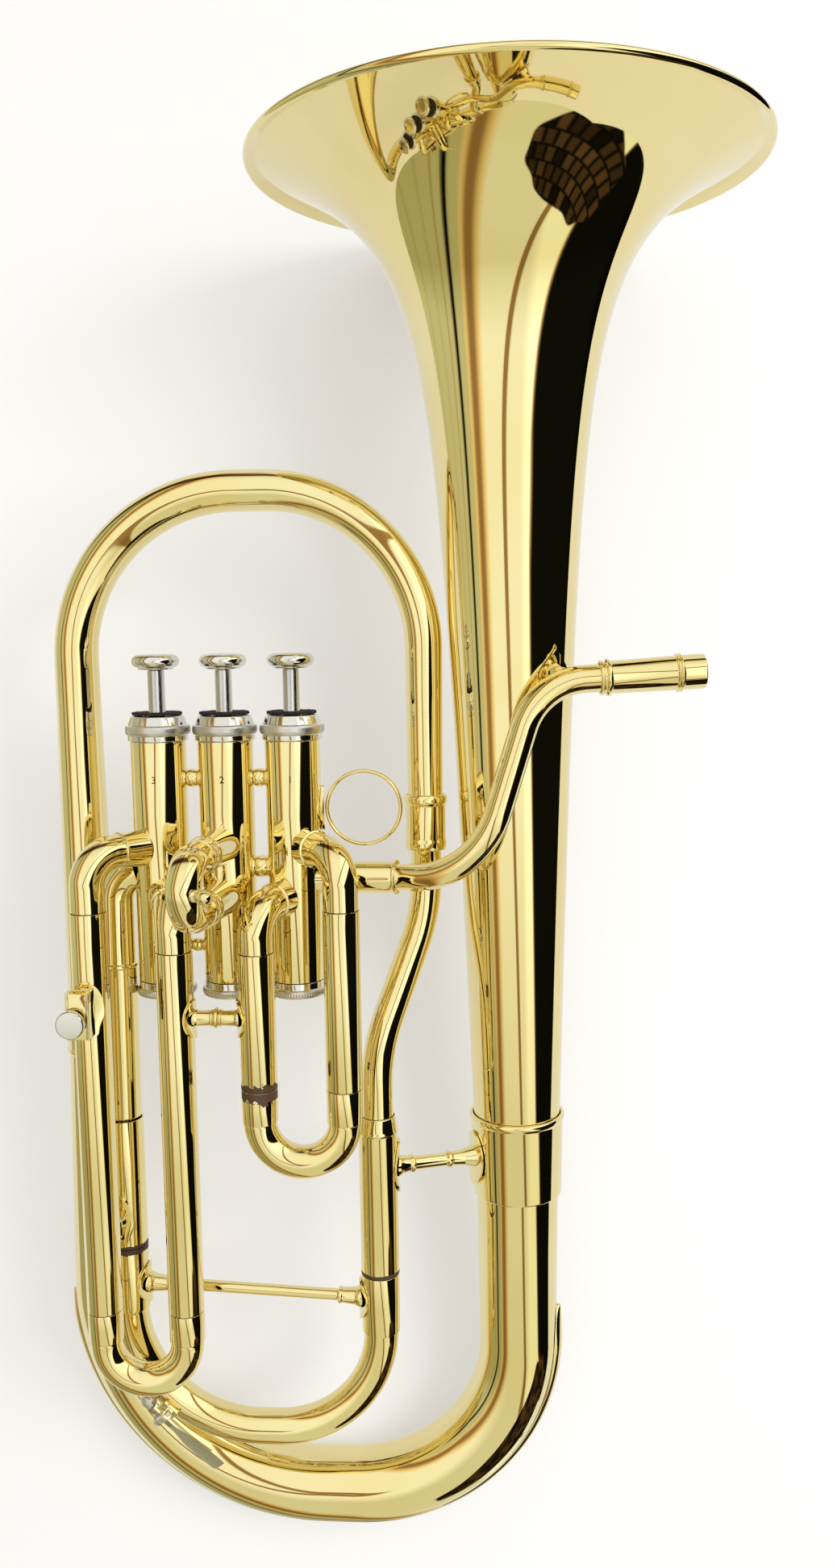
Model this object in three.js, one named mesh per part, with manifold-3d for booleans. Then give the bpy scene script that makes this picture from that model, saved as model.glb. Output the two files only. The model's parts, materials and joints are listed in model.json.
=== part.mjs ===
// Alto horn in E flat with three piston valves, lying on its back on a table.
// Units are millimetres. The horn is drawn in its own axes: x to its right as seen from the valve
// side, y up the bell, z out of the valve side. Places along the horn are drops below the bell rim.
// Then the whole horn is laid down, so that its rim and its bottom bow rest on the plane z = 0.
import * as THREE from "three";
import { mergeVertices } from "three/addons/utils/BufferGeometryUtils.js";
import Module from "manifold-3d";

const wasm = await Module();
wasm.setup();

// Clearances and walls
const seatGap = 0.3;
const slideGap = 0.3;
const tubeWall = 0.6;
const sheetWall = 0.8;
const cutOverrun = 4;
const weldDistance = 1e-4;

// Round counts and smoothness
const bellSides = 28;
const bellStationShares = [0, 0.01, 0.025, 0.045, 0.072, 0.11, 0.16, 0.23, 0.33, 0.47, 0.66, 0.94, 1];
const bowSides = 20;
const topBowSides = 16;
const tubeSides = 12;
const smallSides = 8;
const degree = Math.PI / 180;
const bendSag = 0.45;
const quarterTurn = Math.PI / 2;

// Bell
const rimRadius = 101.5;
const rimBeadRadius = 1.7;
const rimBeadShares = [-0.55, -0.28, 0, 0.28, 0.55];
const bellEndDrop = 404;
const bellThroatRadius = 17.5;
const bellThroatDrop = 392;
const bellTaperSlope = 0.029;
const bellLean = 0.36 * degree;
const flareDepth = 70.7;
const flarePower = 2.72;

// Bell ferrule
const bellFerruleTop = 383.5;
const bellFerruleBottom = 418.5;
const bellFerruleWall = 0.9;
const bellFerruleBead = 0.5;
const bellFerruleBeadHeight = 3;

// Bottom bow and its guard
const bowRightSide = 2.55;
const bowLeftSide = -177;
const bowBottomDrop = 554.8;
const bowStartRadius = 17.4;
const bowMiddleRadius = 14.8;
const bowLowBranchRadius = 12.6;
const bowEndRadius = 10.5;
const bowMiddleShare = 0.5;
const bowLowBranchShare = 0.8;
const bowRightBend = 71;
const bowLeftBend = 94;
const bowBranchDrop = 345;
const guardThickness = 2.3;
const guardEdgeThickness = 0.6;
const guardHalfAngle = 18 * degree;
const guardRightDrop = 470;
const guardLeftDrop = 465;
const guardPointLength = 14;
const guardPointShare = 0.35;
const guardSideSteps = 4;

// Top bow with its left branch
const topBowRightSide = -34.5;
const topBowLeftSide = -178.2;
const topBowDrop = 124.8;
const topBowRightBend = 63.8;
const topBowLeftBend = 66.8;
const topBowEndDrop = 262;
const topBowSmallRadius = 7.2;
const topBowMiddleRadius = 8.45;
const topBowBranchRadius = 9.05;
const topBowLargeRadius = 10.5;
const topBowMiddleShare = 0.45;
const topBowBranchShare = 0.7;
const branchFerruleTop = 332;
const branchFerruleBottom = 358;
const branchFerruleWall = 0.6;
const branchFerruleBead = 0.4;
const branchFerruleBeadHeight = 2.4;

// Ferrule between the top bow and the return pipe
const topFerruleTop = 248.5;
const topFerruleBottom = 271.5;
const topFerruleWall = 0.9;
const topFerruleBead = 0.7;
const topFerruleLowBead = 0.3;
const topFerruleBeadHeight = 4.4;

// Return pipe from the top bow down to the tuning slide
const returnRadius = 6.5;
const returnUpperRun = 35;
const returnSlantHeight = 53;
const returnUpperDrop = topBowEndDrop + returnUpperRun;
const returnLowerDrop = returnUpperDrop + returnSlantHeight;
const returnBend = 55;
const returnEndDrop = 393;

// Tuning slide
const mainFront = 23;
const mainRightSide = -54.5;
const mainLeftSide = -159.3;
const mainSleeveRadius = 7.9;
const mainLegRadius = 7;
const mainBowRadius = 7.1;
const mainFerruleRadius = 7.8;
const mainSleeveTopDrop = 381;
const mainRightSleeveEnd = 444.5;
const mainLeftSleeveEnd = 433;
const mainRightFerruleEnd = 469.5;
const mainLeftFerruleEnd = 461;
const mainBowDrop = 513.8;
const mainRightBend = 43.7;
const mainLeftBend = 53.8;
const mainLegTopDrop = 395;
const mainCapHeight = 8;
const outletRadius = 7;
const outletBend = 12;
const outletDrop = 276.2;
const outletCollarDrop = 314;
const outletCollarRadius = 7.5;
const outletMidDrop = 378;

// Valves, counted from the one next to the bell
const valveSpacing = 26.9;
const middleValveSide = -113;
const valveFront = 20;
const valveCount = 3;
const casingTop = 224;
const casingBottom = 320.5;
const casingRadius = 11;
const casingWall = 1.2;
const valveSides = 12;
const topCapRingTop = 217;
const topCapRingBottom = 221.6;
const topCapRingRadius = 12.8;
const topCapBandRadius = 11.9;
const topCapConeTop = 213.9;
const topCapConeRadius = 10.6;
const topCapPlate = 2.2;
const feltRadius = 10.2;
const feltThickness = 1.2;
const stemRadius = 3.3;
const stemHoleGap = 0.4;
const buttonTop = 189.7;
const buttonBottom = 195.7;
const buttonRadius = 9.35;
const buttonDishDepth = 0.9;
const buttonOutlineShares = [[0.84, 1], [0.97, 0.8], [1, 0.5], [0.95, 0.2], [0.8, 0]];
const buttonSocketDepth = 3.6;
const buttonSocketRadius = 2.2;
const pistonLength = 68;
const pistonHeadGap = 1;
const bottomCapEnd = 327;
const bottomCapRadius = 12;
const bottomCapBandHeight = 3.4;
const bottomCapFloor = 1.6;
const bottomCapHoleRadius = 2;
const capChamfer = 0.5;
const springRadius = 6.6;
const springWire = 0.55;
const springTurns = 4;
const springTurnSteps = 7;
const springWireSides = 4;
const ballNeckShare = 0.75;
const ballFlatShare = 0.4;
const upperBallRadius = 3.8;
const upperBallDrop = 239;
const transferDrop = 275;
const transferRadius = 4.6;
const lowerBallDrop = 307;
const lowerBallRadius = 2.9;

// Valve slides
const slideLegRadius = 6.3;
const slideSleeveRadius = 7.1;
const slideCrookRadius = 6.5;
const slideFerruleRadius = 6.9;
const knuckleRadius = 6.8;
const slideFront = 46;
const firstRightSide = -65.2;
const firstLeftSide = -98.4;
const firstPortInset = 42;
const firstPortSpacing = 20.5;
const firstUpperTurn = 21;
const firstLowerTurn = 17;
const firstUpperPort = casingTop + firstPortInset;
const firstLowerPort = firstUpperPort + firstPortSpacing;
const firstUpperRing = firstUpperPort + firstUpperTurn;
const firstLowerRing = firstLowerPort + firstLowerTurn;
const firstSleeveEnd = 357.5;
const firstFerruleEnd = 371;
const firstCrookDrop = 387.5;
const firstCrookBend = 16.5;
const thirdRightSide = -130.3;
const thirdLeftSide = -163.2;
const thirdPortInset = 42;
const thirdPortSpacing = 19;
const thirdUpperTurn = 21.5;
const thirdLowerTurn = 18;
const thirdUpperPort = casingTop + thirdPortInset;
const thirdLowerPort = thirdUpperPort + thirdPortSpacing;
const thirdUpperRing = thirdUpperPort + thirdUpperTurn;
const thirdLowerRing = thirdLowerPort + thirdLowerTurn;
const thirdSleeveEnd = 449.5;
const thirdFerruleEnd = 462;
const thirdCrookDrop = 479.5;
const thirdCrookBend = 16.3;
const knuckleBend = 12;
const slideLegInset = 8;
const secondPortInset = 41;
const secondUpperPort = casingTop + secondPortInset;
const secondPortSpacing = 20.6;
const secondLowerPort = secondUpperPort + secondPortSpacing;
const secondLeanSide = -6.2;
const secondSleeveFront = 52;
const secondFerruleFront = 56.5;
const secondCrookRun = 6.2;
const secondCrookBend = secondPortSpacing / 2;
const secondCrookFront = secondFerruleFront + secondCrookRun + secondCrookBend;
const secondLegInsetFront = 36;
const pullKnobLength = 9;
const pullKnobStemRadius = 1.5;
const pullKnobRadius = 2.7;
const pullKnobAngle = 53 * degree;

// Leadpipe and mouthpiece receiver
const receiverEndSide = 74.5;
const receiverStartSide = 34;
const receiverDrop = 198.6;
const receiverFront = 24;
const receiverRadius = 6.75;
const receiverThroatRadius = 5.8;
const receiverBoreRadius = 5.5;
const receiverRingRadius = 7.5;
const receiverRingInset = 9;
const receiverRingWidth = 1.8;
const receiverCollarWidth = 4;
const leadpipeRadius = 5.4;
const leadpipeTopSide = 10.5;
const receiverFall = 3.4;
const leadpipeTopDrop = receiverDrop + receiverFall;
const leadpipeTopFront = 29.8;
const leadpipeLowSide = -13;
const leadpipeInletRise = 41;
const leadpipeInletDrop = casingBottom - leadpipeInletRise;
const leadpipeLowRise = 1;
const leadpipeLowDrop = leadpipeInletDrop - leadpipeLowRise;
const leadpipeLowFront = 32.5;
const leadpipeTopBend = 26;
const leadpipeLowBend = 38;
const connectorRadius = 6.4;
const connectorEndSide = -45;
const connectorBend = 24;
const connectorRingRadius = 6.9;
const connectorRingWidth = 1.4;
const saddleInset = 17;
const saddleRise = 1.9;
const saddleLength = 20;
const saddleWidth = 14;
const saddleWebRadius = 3.4;
const saddleSteps = 4;

// Finger ring
const fingerRingRise = 28.2;
const fingerRingDrop = leadpipeInletDrop - fingerRingRise;
const fingerRingRadius = 14.6;
const fingerRingBand = 1.8;
const fingerRingWidth = 3;
const fingerFootHeight = 18;
const fingerFootWidth = 6;
const fingerFootThickness = 1.2;
const fingerRingSides = 28;

// Braces between tubes
const flangeThickness = 0.9;
const mainBraceRadius = 2.4;
const mainBraceEndRadius = 3.9;
const mainBraceFootRadius = 3.1;
const mainBraceFootLength = 7.8;
const mainBraceLeftDrop = 449.8;
const mainBraceRightDrop = 455.8;
const mainBraceFlangeLength = 17;
const mainBraceFlangeWidth = 14.6;
const bellBraceLeftDrop = 399.6;
const bellBraceRightDrop = 401.4;
const bellBraceRadius = 2.7;
const bellBraceEndRadius = 3.9;
const bellBraceRingRadius = 3.9;
const bellBraceRings = [0.33, 0.68];
const bellBraceFlangeLength = 23;
const bellBraceFlangeWidth = 14.6;
const slideBraceDrop = 329.8;
const slideBraceRadius = 3;
const slideBraceRingRadius = 3.9;
const slideBraceRings = [0.5];
const slideBraceFlangeLength = 15.6;
const slideBraceFlangeWidth = 13.8;
const postBraceDrop = 420.5;
const postBraceRadius = 2.6;
const postBraceFlangeLength = 21;
const postBraceFlangeWidth = 11;
const braceRingWidth = 1.6;

// Lyre box on the third slide, with its clamp screw
const lyreDrop = 325;
const lyreSide = -164.2;
const lyreHeight = 18;
const lyreWidth = 9;
const lyreDepth = 7.4;
const lyreSocketWidth = 5.6;
const lyreSocketDepth = 4.6;
const lyrePlateLength = 23;
const lyrePlateWidth = 13;
const lyrePlateThickness = 0.9;
const lyreScrewRadius = 5.5;
const lyreScrewHeadThickness = 3;
const lyreScrewShankRadius = 1.6;
const lyreScrewSide = -166;
const lyreScrewDrop = 327;
const lyreScrewOut = 1.6;

// Water key on the tuning slide bow
const keyAngle = 48.5 * degree;
const keyLean = 58 * degree;
const keyPivotHeight = 3.6;
const keyPivotHalfWidth = 3.6;
const keyPinRadius = 0.9;
const keyLugRadius = 2;
const keyLugThickness = 1.3;
const keyLugWebWidth = 3.6;
const keySaddleLength = 8;
const keyTouchLength = 31.5;
const keyTouchWidth = 10;
const keyPlateThickness = 1.1;
const keyNeckWidth = 3.2;
const keyNeckLength = 6;
const keyCupReach = 9;
const keyCupRadius = 3.4;
const keyCupHeight = 1.6;
const keyCorkHeight = 1.3;
const keyNippleRadius = 2.6;
const keyNippleBore = 1.3;
const keySpringRadius = 2;
const keySpringLength = 2.4;

// How the horn lies
const restRoll = 3.2 * degree;
const tiltSearchLow = 2 * degree;
const tiltSearchHigh = 20 * degree;
const tiltSearchSteps = 40;

const finishes = {
  lacquer: { color: 0xd8b24a, roughness: 0.14, metalness: 1 },
  nickel: { color: 0xcfcabd, roughness: 0.18, metalness: 1 },
  piston: { color: 0xb9bcbd, roughness: 0.3, metalness: 1 },
  felt: { color: 0x1b1714, roughness: 0.95, metalness: 0 },
  cork: { color: 0xb58a5c, roughness: 0.85, metalness: 0 },
  steel: { color: 0x8f9193, roughness: 0.35, metalness: 1 },
};

const outOfHorn = new THREE.Vector3(0, 0, 1);
const upTheHorn = new THREE.Vector3(0, 1, 0);
const toTheRight = new THREE.Vector3(1, 0, 0);
const toTheLeft = new THREE.Vector3(-1, 0, 0);

function at(side, drop, front = 0) {
  return new THREE.Vector3(side, -drop, front);
}

function addPart(group, name, geometry, finish) {
  const mesh = new THREE.Mesh(geometry, new THREE.MeshStandardMaterial(finishes[finish]));
  mesh.name = name;
  group.add(mesh);
  return mesh;
}

// Closed geometry from plain positions and triangles, with its faces pointing out
function closedGeometry(source) {
  const plain = source.clone();
  plain.deleteAttribute("normal");
  plain.deleteAttribute("uv");
  const merged = mergeVertices(plain, weldDistance);
  const corners = merged.index.array;
  const position = merged.getAttribute("position");
  const kept = [];
  let sixVolumes = 0;
  const [a, b, c] = [new THREE.Vector3(), new THREE.Vector3(), new THREE.Vector3()];
  for (let i = 0; i < corners.length; i += 3) {
    const [p, q, r] = [corners[i], corners[i + 1], corners[i + 2]];
    if (p === q || q === r || r === p) continue;
    kept.push(p, q, r);
    a.fromBufferAttribute(position, p);
    b.fromBufferAttribute(position, q);
    c.fromBufferAttribute(position, r);
    sixVolumes += a.dot(b.cross(c));
  }
  if (sixVolumes < 0) {
    for (let i = 0; i < kept.length; i += 3) {
      [kept[i + 1], kept[i + 2]] = [kept[i + 2], kept[i + 1]];
    }
  }
  merged.setIndex(kept);
  return merged;
}

function toSolid(geometry) {
  const closed = closedGeometry(geometry);
  return new wasm.Manifold(new wasm.Mesh({
    numProp: 3,
    vertProperties: new Float32Array(closed.getAttribute("position").array),
    triVerts: new Uint32Array(closed.index.array),
  }));
}

function toGeometry(solid) {
  const mesh = solid.getMesh();
  const geometry = new THREE.BufferGeometry();
  geometry.setAttribute("position", new THREE.BufferAttribute(mesh.vertProperties, 3));
  geometry.setIndex(new THREE.BufferAttribute(mesh.triVerts, 1));
  return geometry;
}

function joined(...geometries) {
  return toGeometry(geometries.map(toSolid).reduce((whole, piece) => whole.add(piece)));
}

function cutBy(geometry, ...cutters) {
  return toGeometry(cutters.map(toSolid).reduce((rest, cutter) => rest.subtract(cutter), toSolid(geometry)));
}

function common(first, second) {
  return toGeometry(toSolid(first).intersect(toSolid(second)));
}

// A body of revolution about y from a closed outline of [radius, height] points
function turned(outline, sides) {
  const points = outline.map(([radius, height]) => new THREE.Vector2(radius, height));
  points.push(points[0].clone());
  return closedGeometry(new THREE.LatheGeometry(points, sides));
}

// The same with heights given as drops below the rim
function turnedAtDrops(outline, sides) {
  return turned(outline.map(([radius, drop]) => [radius, -drop]), sides);
}

// Turns a geometry made about y so that its y axis runs along a direction from a point
function aimed(geometry, from, direction) {
  const turn = new THREE.Quaternion().setFromUnitVectors(upTheHorn, direction.clone().normalize());
  return geometry.clone().applyQuaternion(turn).translate(from.x, from.y, from.z);
}

function rodBetween(from, to, radius, sides = smallSides) {
  const run = to.clone().sub(from);
  return aimed(turned([[0, 0], [radius, 0], [radius, run.length()], [0, run.length()]], sides), from, run);
}

// A route of straight runs joined by round bends
class Route {
  constructor(corners) {
    this.pieces = [];
    this.length = 0;
    let last = corners[0].point;
    for (let i = 1; i < corners.length - 1; i += 1) {
      const { point, bend } = corners[i];
      const into = point.clone().sub(corners[i - 1].point).normalize();
      const out = corners[i + 1].point.clone().sub(point).normalize();
      const angle = into.angleTo(out);
      const trim = bend * Math.tan(angle / 2);
      const start = point.clone().addScaledVector(into, -trim);
      const axis = into.clone().cross(out).normalize();
      const centre = start.clone().addScaledVector(axis.clone().cross(into), bend);
      this.addRun(last, start);
      this.addBend(start, centre, axis, into, bend, angle);
      last = point.clone().addScaledVector(out, trim);
    }
    this.addRun(last, corners.at(-1).point);
  }

  addRun(from, to) {
    const tangent = to.clone().sub(from);
    const length = tangent.length();
    tangent.normalize();
    this.pieces.push({
      start: this.length,
      length,
      steps: 1,
      place: (along) => ({ point: from.clone().addScaledVector(tangent, along), tangent: tangent.clone() }),
    });
    this.length += length;
  }

  addBend(start, centre, axis, into, bend, angle) {
    const arm = start.clone().sub(centre);
    this.pieces.push({
      start: this.length,
      length: bend * angle,
      steps: Math.max(2, Math.ceil(angle / (2 * Math.acos(1 - bendSag / bend)))),
      place: (along) => ({
        point: centre.clone().add(arm.clone().applyAxisAngle(axis, along / bend)),
        tangent: into.clone().applyAxisAngle(axis, along / bend),
      }),
    });
    this.length += bend * angle;
  }

  place(distance) {
    const piece = this.pieces.findLast((each) => distance >= each.start) ?? this.pieces[0];
    return piece.place(distance - piece.start);
  }

  stops() {
    const all = this.pieces.flatMap(({ start, length, steps }) =>
      Array.from({ length: steps }, (_, i) => start + (length * i) / steps));
    return [...all, this.length];
  }

  // Places with a cross frame that turns with the route and starts at the facing direction
  frames(distances, facing) {
    let normal = null;
    let before = null;
    const marks = [...new Set([...this.stops(), ...distances])].sort((p, q) => p - q);
    const found = new Map();
    for (const distance of marks) {
      const { point, tangent } = this.place(distance);
      if (normal === null) {
        normal = facing.clone().addScaledVector(tangent, -facing.dot(tangent)).normalize();
      } else {
        normal.applyQuaternion(new THREE.Quaternion().setFromUnitVectors(before, tangent)).normalize();
      }
      before = tangent;
      found.set(distance, { point, tangent, normal: normal.clone(), side: tangent.clone().cross(normal) });
    }
    return distances.map((distance) => found.get(distance));
  }
}

function radiusAt(profile, distance) {
  const next = profile.findIndex(([mark]) => mark > distance);
  if (next <= 0) return next === 0 ? profile[0][1] : profile.at(-1)[1];
  const [[fromMark, fromRadius], [toMark, toRadius]] = [profile[next - 1], profile[next]];
  return fromRadius + ((toRadius - fromRadius) * (distance - fromMark)) / (toMark - fromMark);
}

// Rings of one skin of a pipe. Its profile is a list of [distance, radius], and a distance that
// comes twice is a step.
function skinRings(route, profile, sides, facing) {
  const [first, last] = [profile[0][0], profile.at(-1)[0]];
  const marks = profile.map(([mark]) => mark);
  const between = route.stops().filter((stop) => stop > first && stop < last)
    .filter((stop) => marks.every((mark) => Math.abs(mark - stop) > seatGap));
  const stations = [
    ...profile.map(([mark, radius]) => ({ mark, radius })),
    ...between.map((mark) => ({ mark, radius: radiusAt(profile, mark) })),
  ].sort((p, q) => p.mark - q.mark);
  const frames = route.frames(stations.map(({ mark }) => mark), facing);
  return stations.map(({ radius }, i) => {
    const { point, normal, side } = frames[i];
    return Array.from({ length: sides }, (_, k) => {
      const angle = (2 * Math.PI * k) / sides;
      return point.clone()
        .addScaledVector(normal, radius * Math.cos(angle))
        .addScaledVector(side, radius * Math.sin(angle));
    });
  });
}

function geometryFrom(points, triangles) {
  const geometry = new THREE.BufferGeometry();
  geometry.setAttribute("position", new THREE.Float32BufferAttribute(points.flatMap((p) => p.toArray()), 3));
  geometry.setIndex(triangles.flat());
  return closedGeometry(geometry);
}

// A hollow pipe along a route, with one skin outside and one in its bore, and two open ends
function pipe(route, outside, bore, { sides = tubeSides, boreSides = sides / 2, facing = outOfHorn } = {}) {
  const outer = skinRings(route, outside, sides, facing);
  const inner = skinRings(route, bore, boreSides, facing);
  const points = [...outer.flat(), ...inner.flat()];
  const outerAt = (ring, k) => ring * sides + (k % sides);
  const innerAt = (ring, k) => outer.length * sides + ring * boreSides + (k % boreSides);
  const triangles = [];
  const addSkin = (rings, count, index, flip) => {
    for (let ring = 0; ring < rings.length - 1; ring += 1) {
      for (let k = 0; k < count; k += 1) {
        const [a, b, c, d] = [index(ring, k), index(ring, k + 1), index(ring + 1, k + 1), index(ring + 1, k)];
        triangles.push(flip ? [a, c, b] : [a, b, c], flip ? [a, d, c] : [a, c, d]);
      }
    }
  };
  addSkin(outer, sides, outerAt, false);
  addSkin(inner, boreSides, innerAt, true);
  const ratio = sides / boreSides;
  const addEnd = (outerRing, innerRing, flip) => {
    const push = (a, b, c) => triangles.push(flip ? [a, c, b] : [a, b, c]);
    for (let k = 0; k < boreSides; k += 1) {
      for (let step = 0; step < ratio; step += 1) {
        const hub = innerAt(innerRing, step < ratio / 2 ? k : k + 1);
        push(outerAt(outerRing, k * ratio + step), hub, outerAt(outerRing, k * ratio + step + 1));
      }
      const middle = outerAt(outerRing, k * ratio + Math.ceil(ratio / 2));
      push(innerAt(innerRing, k), innerAt(innerRing, k + 1), middle);
    }
  };
  addEnd(0, 0, false);
  addEnd(outer.length - 1, inner.length - 1, true);
  return geometryFrom(points, triangles);
}

// A thin curved plate between two grids of points
function slab(outerGrid, innerGrid) {
  const [rows, columns] = [outerGrid.length, outerGrid[0].length];
  const points = [...outerGrid.flat(), ...innerGrid.flat()];
  const top = (row, column) => row * columns + column;
  const under = (row, column) => rows * columns + row * columns + column;
  const triangles = [];
  const addQuad = (a, b, c, d) => triangles.push([a, b, c], [a, c, d]);
  for (let row = 0; row < rows - 1; row += 1) {
    for (let column = 0; column < columns - 1; column += 1) {
      addQuad(top(row, column), top(row, column + 1), top(row + 1, column + 1), top(row + 1, column));
      addQuad(under(row, column), under(row + 1, column), under(row + 1, column + 1), under(row, column + 1));
    }
    addQuad(top(row, 0), top(row + 1, 0), under(row + 1, 0), under(row, 0));
    const last = columns - 1;
    addQuad(top(row, last), under(row, last), under(row + 1, last), top(row + 1, last));
  }
  for (let column = 0; column < columns - 1; column += 1) {
    addQuad(top(0, column), under(0, column), under(0, column + 1), top(0, column + 1));
    const last = rows - 1;
    addQuad(top(last, column), top(last, column + 1), under(last, column + 1), under(last, column));
  }
  return geometryFrom(points, triangles);
}

// A ferrule about y between two drops, tapered, with a bead at each end
function ferrule({ top, bottom, topBore, bottomBore, wall, topBead, bottomBead, beadHeight, sides }) {
  const boreAt = (drop) => topBore + ((bottomBore - topBore) * (drop - top)) / (bottom - top);
  const beadPoints = (from, to, bead) => [
    [boreAt(from) + wall, from],
    [boreAt(from) + wall + bead, from + (to - from) / 3],
    [boreAt(to) + wall + bead, to - (to - from) / 3],
    [boreAt(to) + wall, to],
  ];
  const lowEdge = bottomBead > 0
    ? beadPoints(bottom - beadHeight, bottom, bottomBead)
    : [[boreAt(bottom) + wall, bottom]];
  return turnedAtDrops([
    [bottomBore, bottom],
    [topBore, top],
    ...beadPoints(top, top + beadHeight, topBead),
    ...lowEdge,
  ], sides);
}

// An oval flange that hugs an upright tube on its outward side
function hugFlange(tube, outward, { length, width, thickness = flangeThickness }) {
  const reach = upTheHorn.clone().multiplyScalar(length);
  const inside = tube.radius + seatGap;
  const sides = tube.sides ?? tubeSides;
  const from = tube.centre.clone().sub(reach);
  const to = tube.centre.clone().add(reach);
  const shell = cutBy(
    rodBetween(from, to, inside + thickness, sides),
    rodBetween(from.clone().sub(reach), to.clone().add(reach), inside, sides),
  );
  const oval = turned([[0, 0], [1, 0], [1, 1], [0, 1]], tubeSides)
    .scale(length / 2, inside + 2 * thickness, width / 2)
    .applyMatrix4(new THREE.Matrix4().makeBasis(upTheHorn, outward, upTheHorn.clone().cross(outward)))
    .translate(...tube.centre.toArray());
  return common(shell, oval);
}

function valveSide(number) {
  return middleValveSide + (2 - number) * valveSpacing;
}

function bellFlare(drop) {
  const stem = bellThroatRadius + bellTaperSlope * (bellThroatDrop - drop);
  const flare = rimRadius - bellThroatRadius - bellTaperSlope * bellThroatDrop;
  return stem + flare * (flareDepth / (drop + flareDepth)) ** flarePower;
}

const bellDrops = bellStationShares.map((share) => rimBeadRadius + share * (bellEndDrop - rimBeadRadius));
const bellOutside = bellDrops.map((drop) => [drop, Math.max(bellFlare(drop), bellThroatRadius)]);

// The bell's outside between two drops, lifted off it, as [radius, drop]
function overBell(top, bottom, lift) {
  const drops = [top, ...bellDrops.filter((drop) => drop > top && drop < bottom), bottom];
  return drops.map((drop) => [radiusAt(bellOutside, drop) + lift, drop]);
}

function makeBell(horn) {
  const sample = sheetWall / 2;
  const outside = bellOutside.map(([drop, radius]) => [radius, drop]);
  const inside = bellOutside.map(([drop, radius]) => {
    const slope = (bellFlare(drop + sample) - bellFlare(drop - sample)) / (2 * sample);
    const lean = Math.hypot(1, slope);
    return [radius - sheetWall / lean, drop + (sheetWall * slope) / lean];
  });
  inside[0][1] = rimBeadRadius / 2;
  const beadCentre = rimRadius - rimBeadRadius;
  const bead = rimBeadShares.map((share) => [
    beadCentre + rimBeadRadius * Math.cos(share * Math.PI),
    rimBeadRadius + rimBeadRadius * Math.sin(share * Math.PI),
  ]);
  const outline = [...inside.slice(0, -1).reverse(), ...bead, ...outside];
  outline.unshift([bellThroatRadius - sheetWall, bellEndDrop]);
  addPart(horn, "bell", turnedAtDrops(outline, bellSides).rotateZ(bellLean), "lacquer");
  const bellFerrule = ferrule({
    top: bellFerruleTop,
    bottom: bellFerruleBottom,
    topBore: radiusAt(bellOutside, bellFerruleTop) + seatGap,
    bottomBore: bowStartRadius + seatGap,
    wall: bellFerruleWall,
    topBead: bellFerruleBead,
    bottomBead: 0,
    beadHeight: bellFerruleBeadHeight,
    sides: bellSides,
  });
  addPart(horn, "bell_ferrule", bellFerrule.rotateZ(bellLean), "lacquer");
}

const bottomBowRoute = new Route([
  { point: at(bowRightSide, bellEndDrop + seatGap) },
  { point: at(bowRightSide, bowBottomDrop), bend: bowRightBend },
  { point: at(bowLeftSide, bowBottomDrop), bend: bowLeftBend },
  { point: at(bowLeftSide, bowBranchDrop + seatGap) },
]);

const bottomBowProfile = [
  [0, bowStartRadius],
  [bowMiddleShare * bottomBowRoute.length, bowMiddleRadius],
  [bowLowBranchShare * bottomBowRoute.length, bowLowBranchRadius],
  [bottomBowRoute.length, bowEndRadius],
];

function thinned(profile, wall) {
  return profile.map(([mark, radius]) => [mark, radius - wall]);
}

function makeBottomBow(horn) {
  const length = bottomBowRoute.length;
  addPart(horn, "bottom_bow", pipe(
    bottomBowRoute,
    bottomBowProfile,
    thinned(bottomBowProfile, sheetWall),
    { sides: bowSides },
  ), "lacquer");
  const guardStart = guardRightDrop - bellEndDrop;
  const guardEnd = length - (guardLeftDrop - bowBranchDrop);
  const marks = [
    guardStart,
    guardStart + guardPointLength / 3,
    ...bottomBowRoute.stops(),
    ...bottomBowProfile.map(([mark]) => mark),
    guardEnd,
  ].filter((mark) => mark >= guardStart && mark <= guardEnd).sort((p, q) => p - q);
  const frames = bottomBowRoute.frames(marks, toTheRight);
  const grid = (lift) => marks.map((mark, i) => {
    const { point, normal, side } = frames[i];
    const fromEnd = Math.min(mark - guardStart, guardEnd - mark) / guardPointLength;
    const half = guardHalfAngle * (guardPointShare + (1 - guardPointShare) * Math.sqrt(Math.min(1, fromEnd)));
    return Array.from({ length: guardSideSteps + 1 }, (_, k) => {
      const share = (2 * k) / guardSideSteps - 1;
      const angle = half * share;
      const height = guardEdgeThickness + (guardThickness - guardEdgeThickness) * (1 - share * share);
      const radius = radiusAt(bottomBowProfile, mark) + seatGap + lift * height;
      return point.clone()
        .addScaledVector(normal, radius * Math.cos(angle))
        .addScaledVector(side, radius * Math.sin(angle));
    });
  });
  addPart(horn, "bow_guard", slab(grid(1), grid(0)), "lacquer");
}

const topBowRoute = new Route([
  { point: at(topBowRightSide, topBowEndDrop) },
  { point: at(topBowRightSide, topBowDrop), bend: topBowRightBend },
  { point: at(topBowLeftSide, topBowDrop), bend: topBowLeftBend },
  { point: at(bowLeftSide, bowBranchDrop) },
]);

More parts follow.
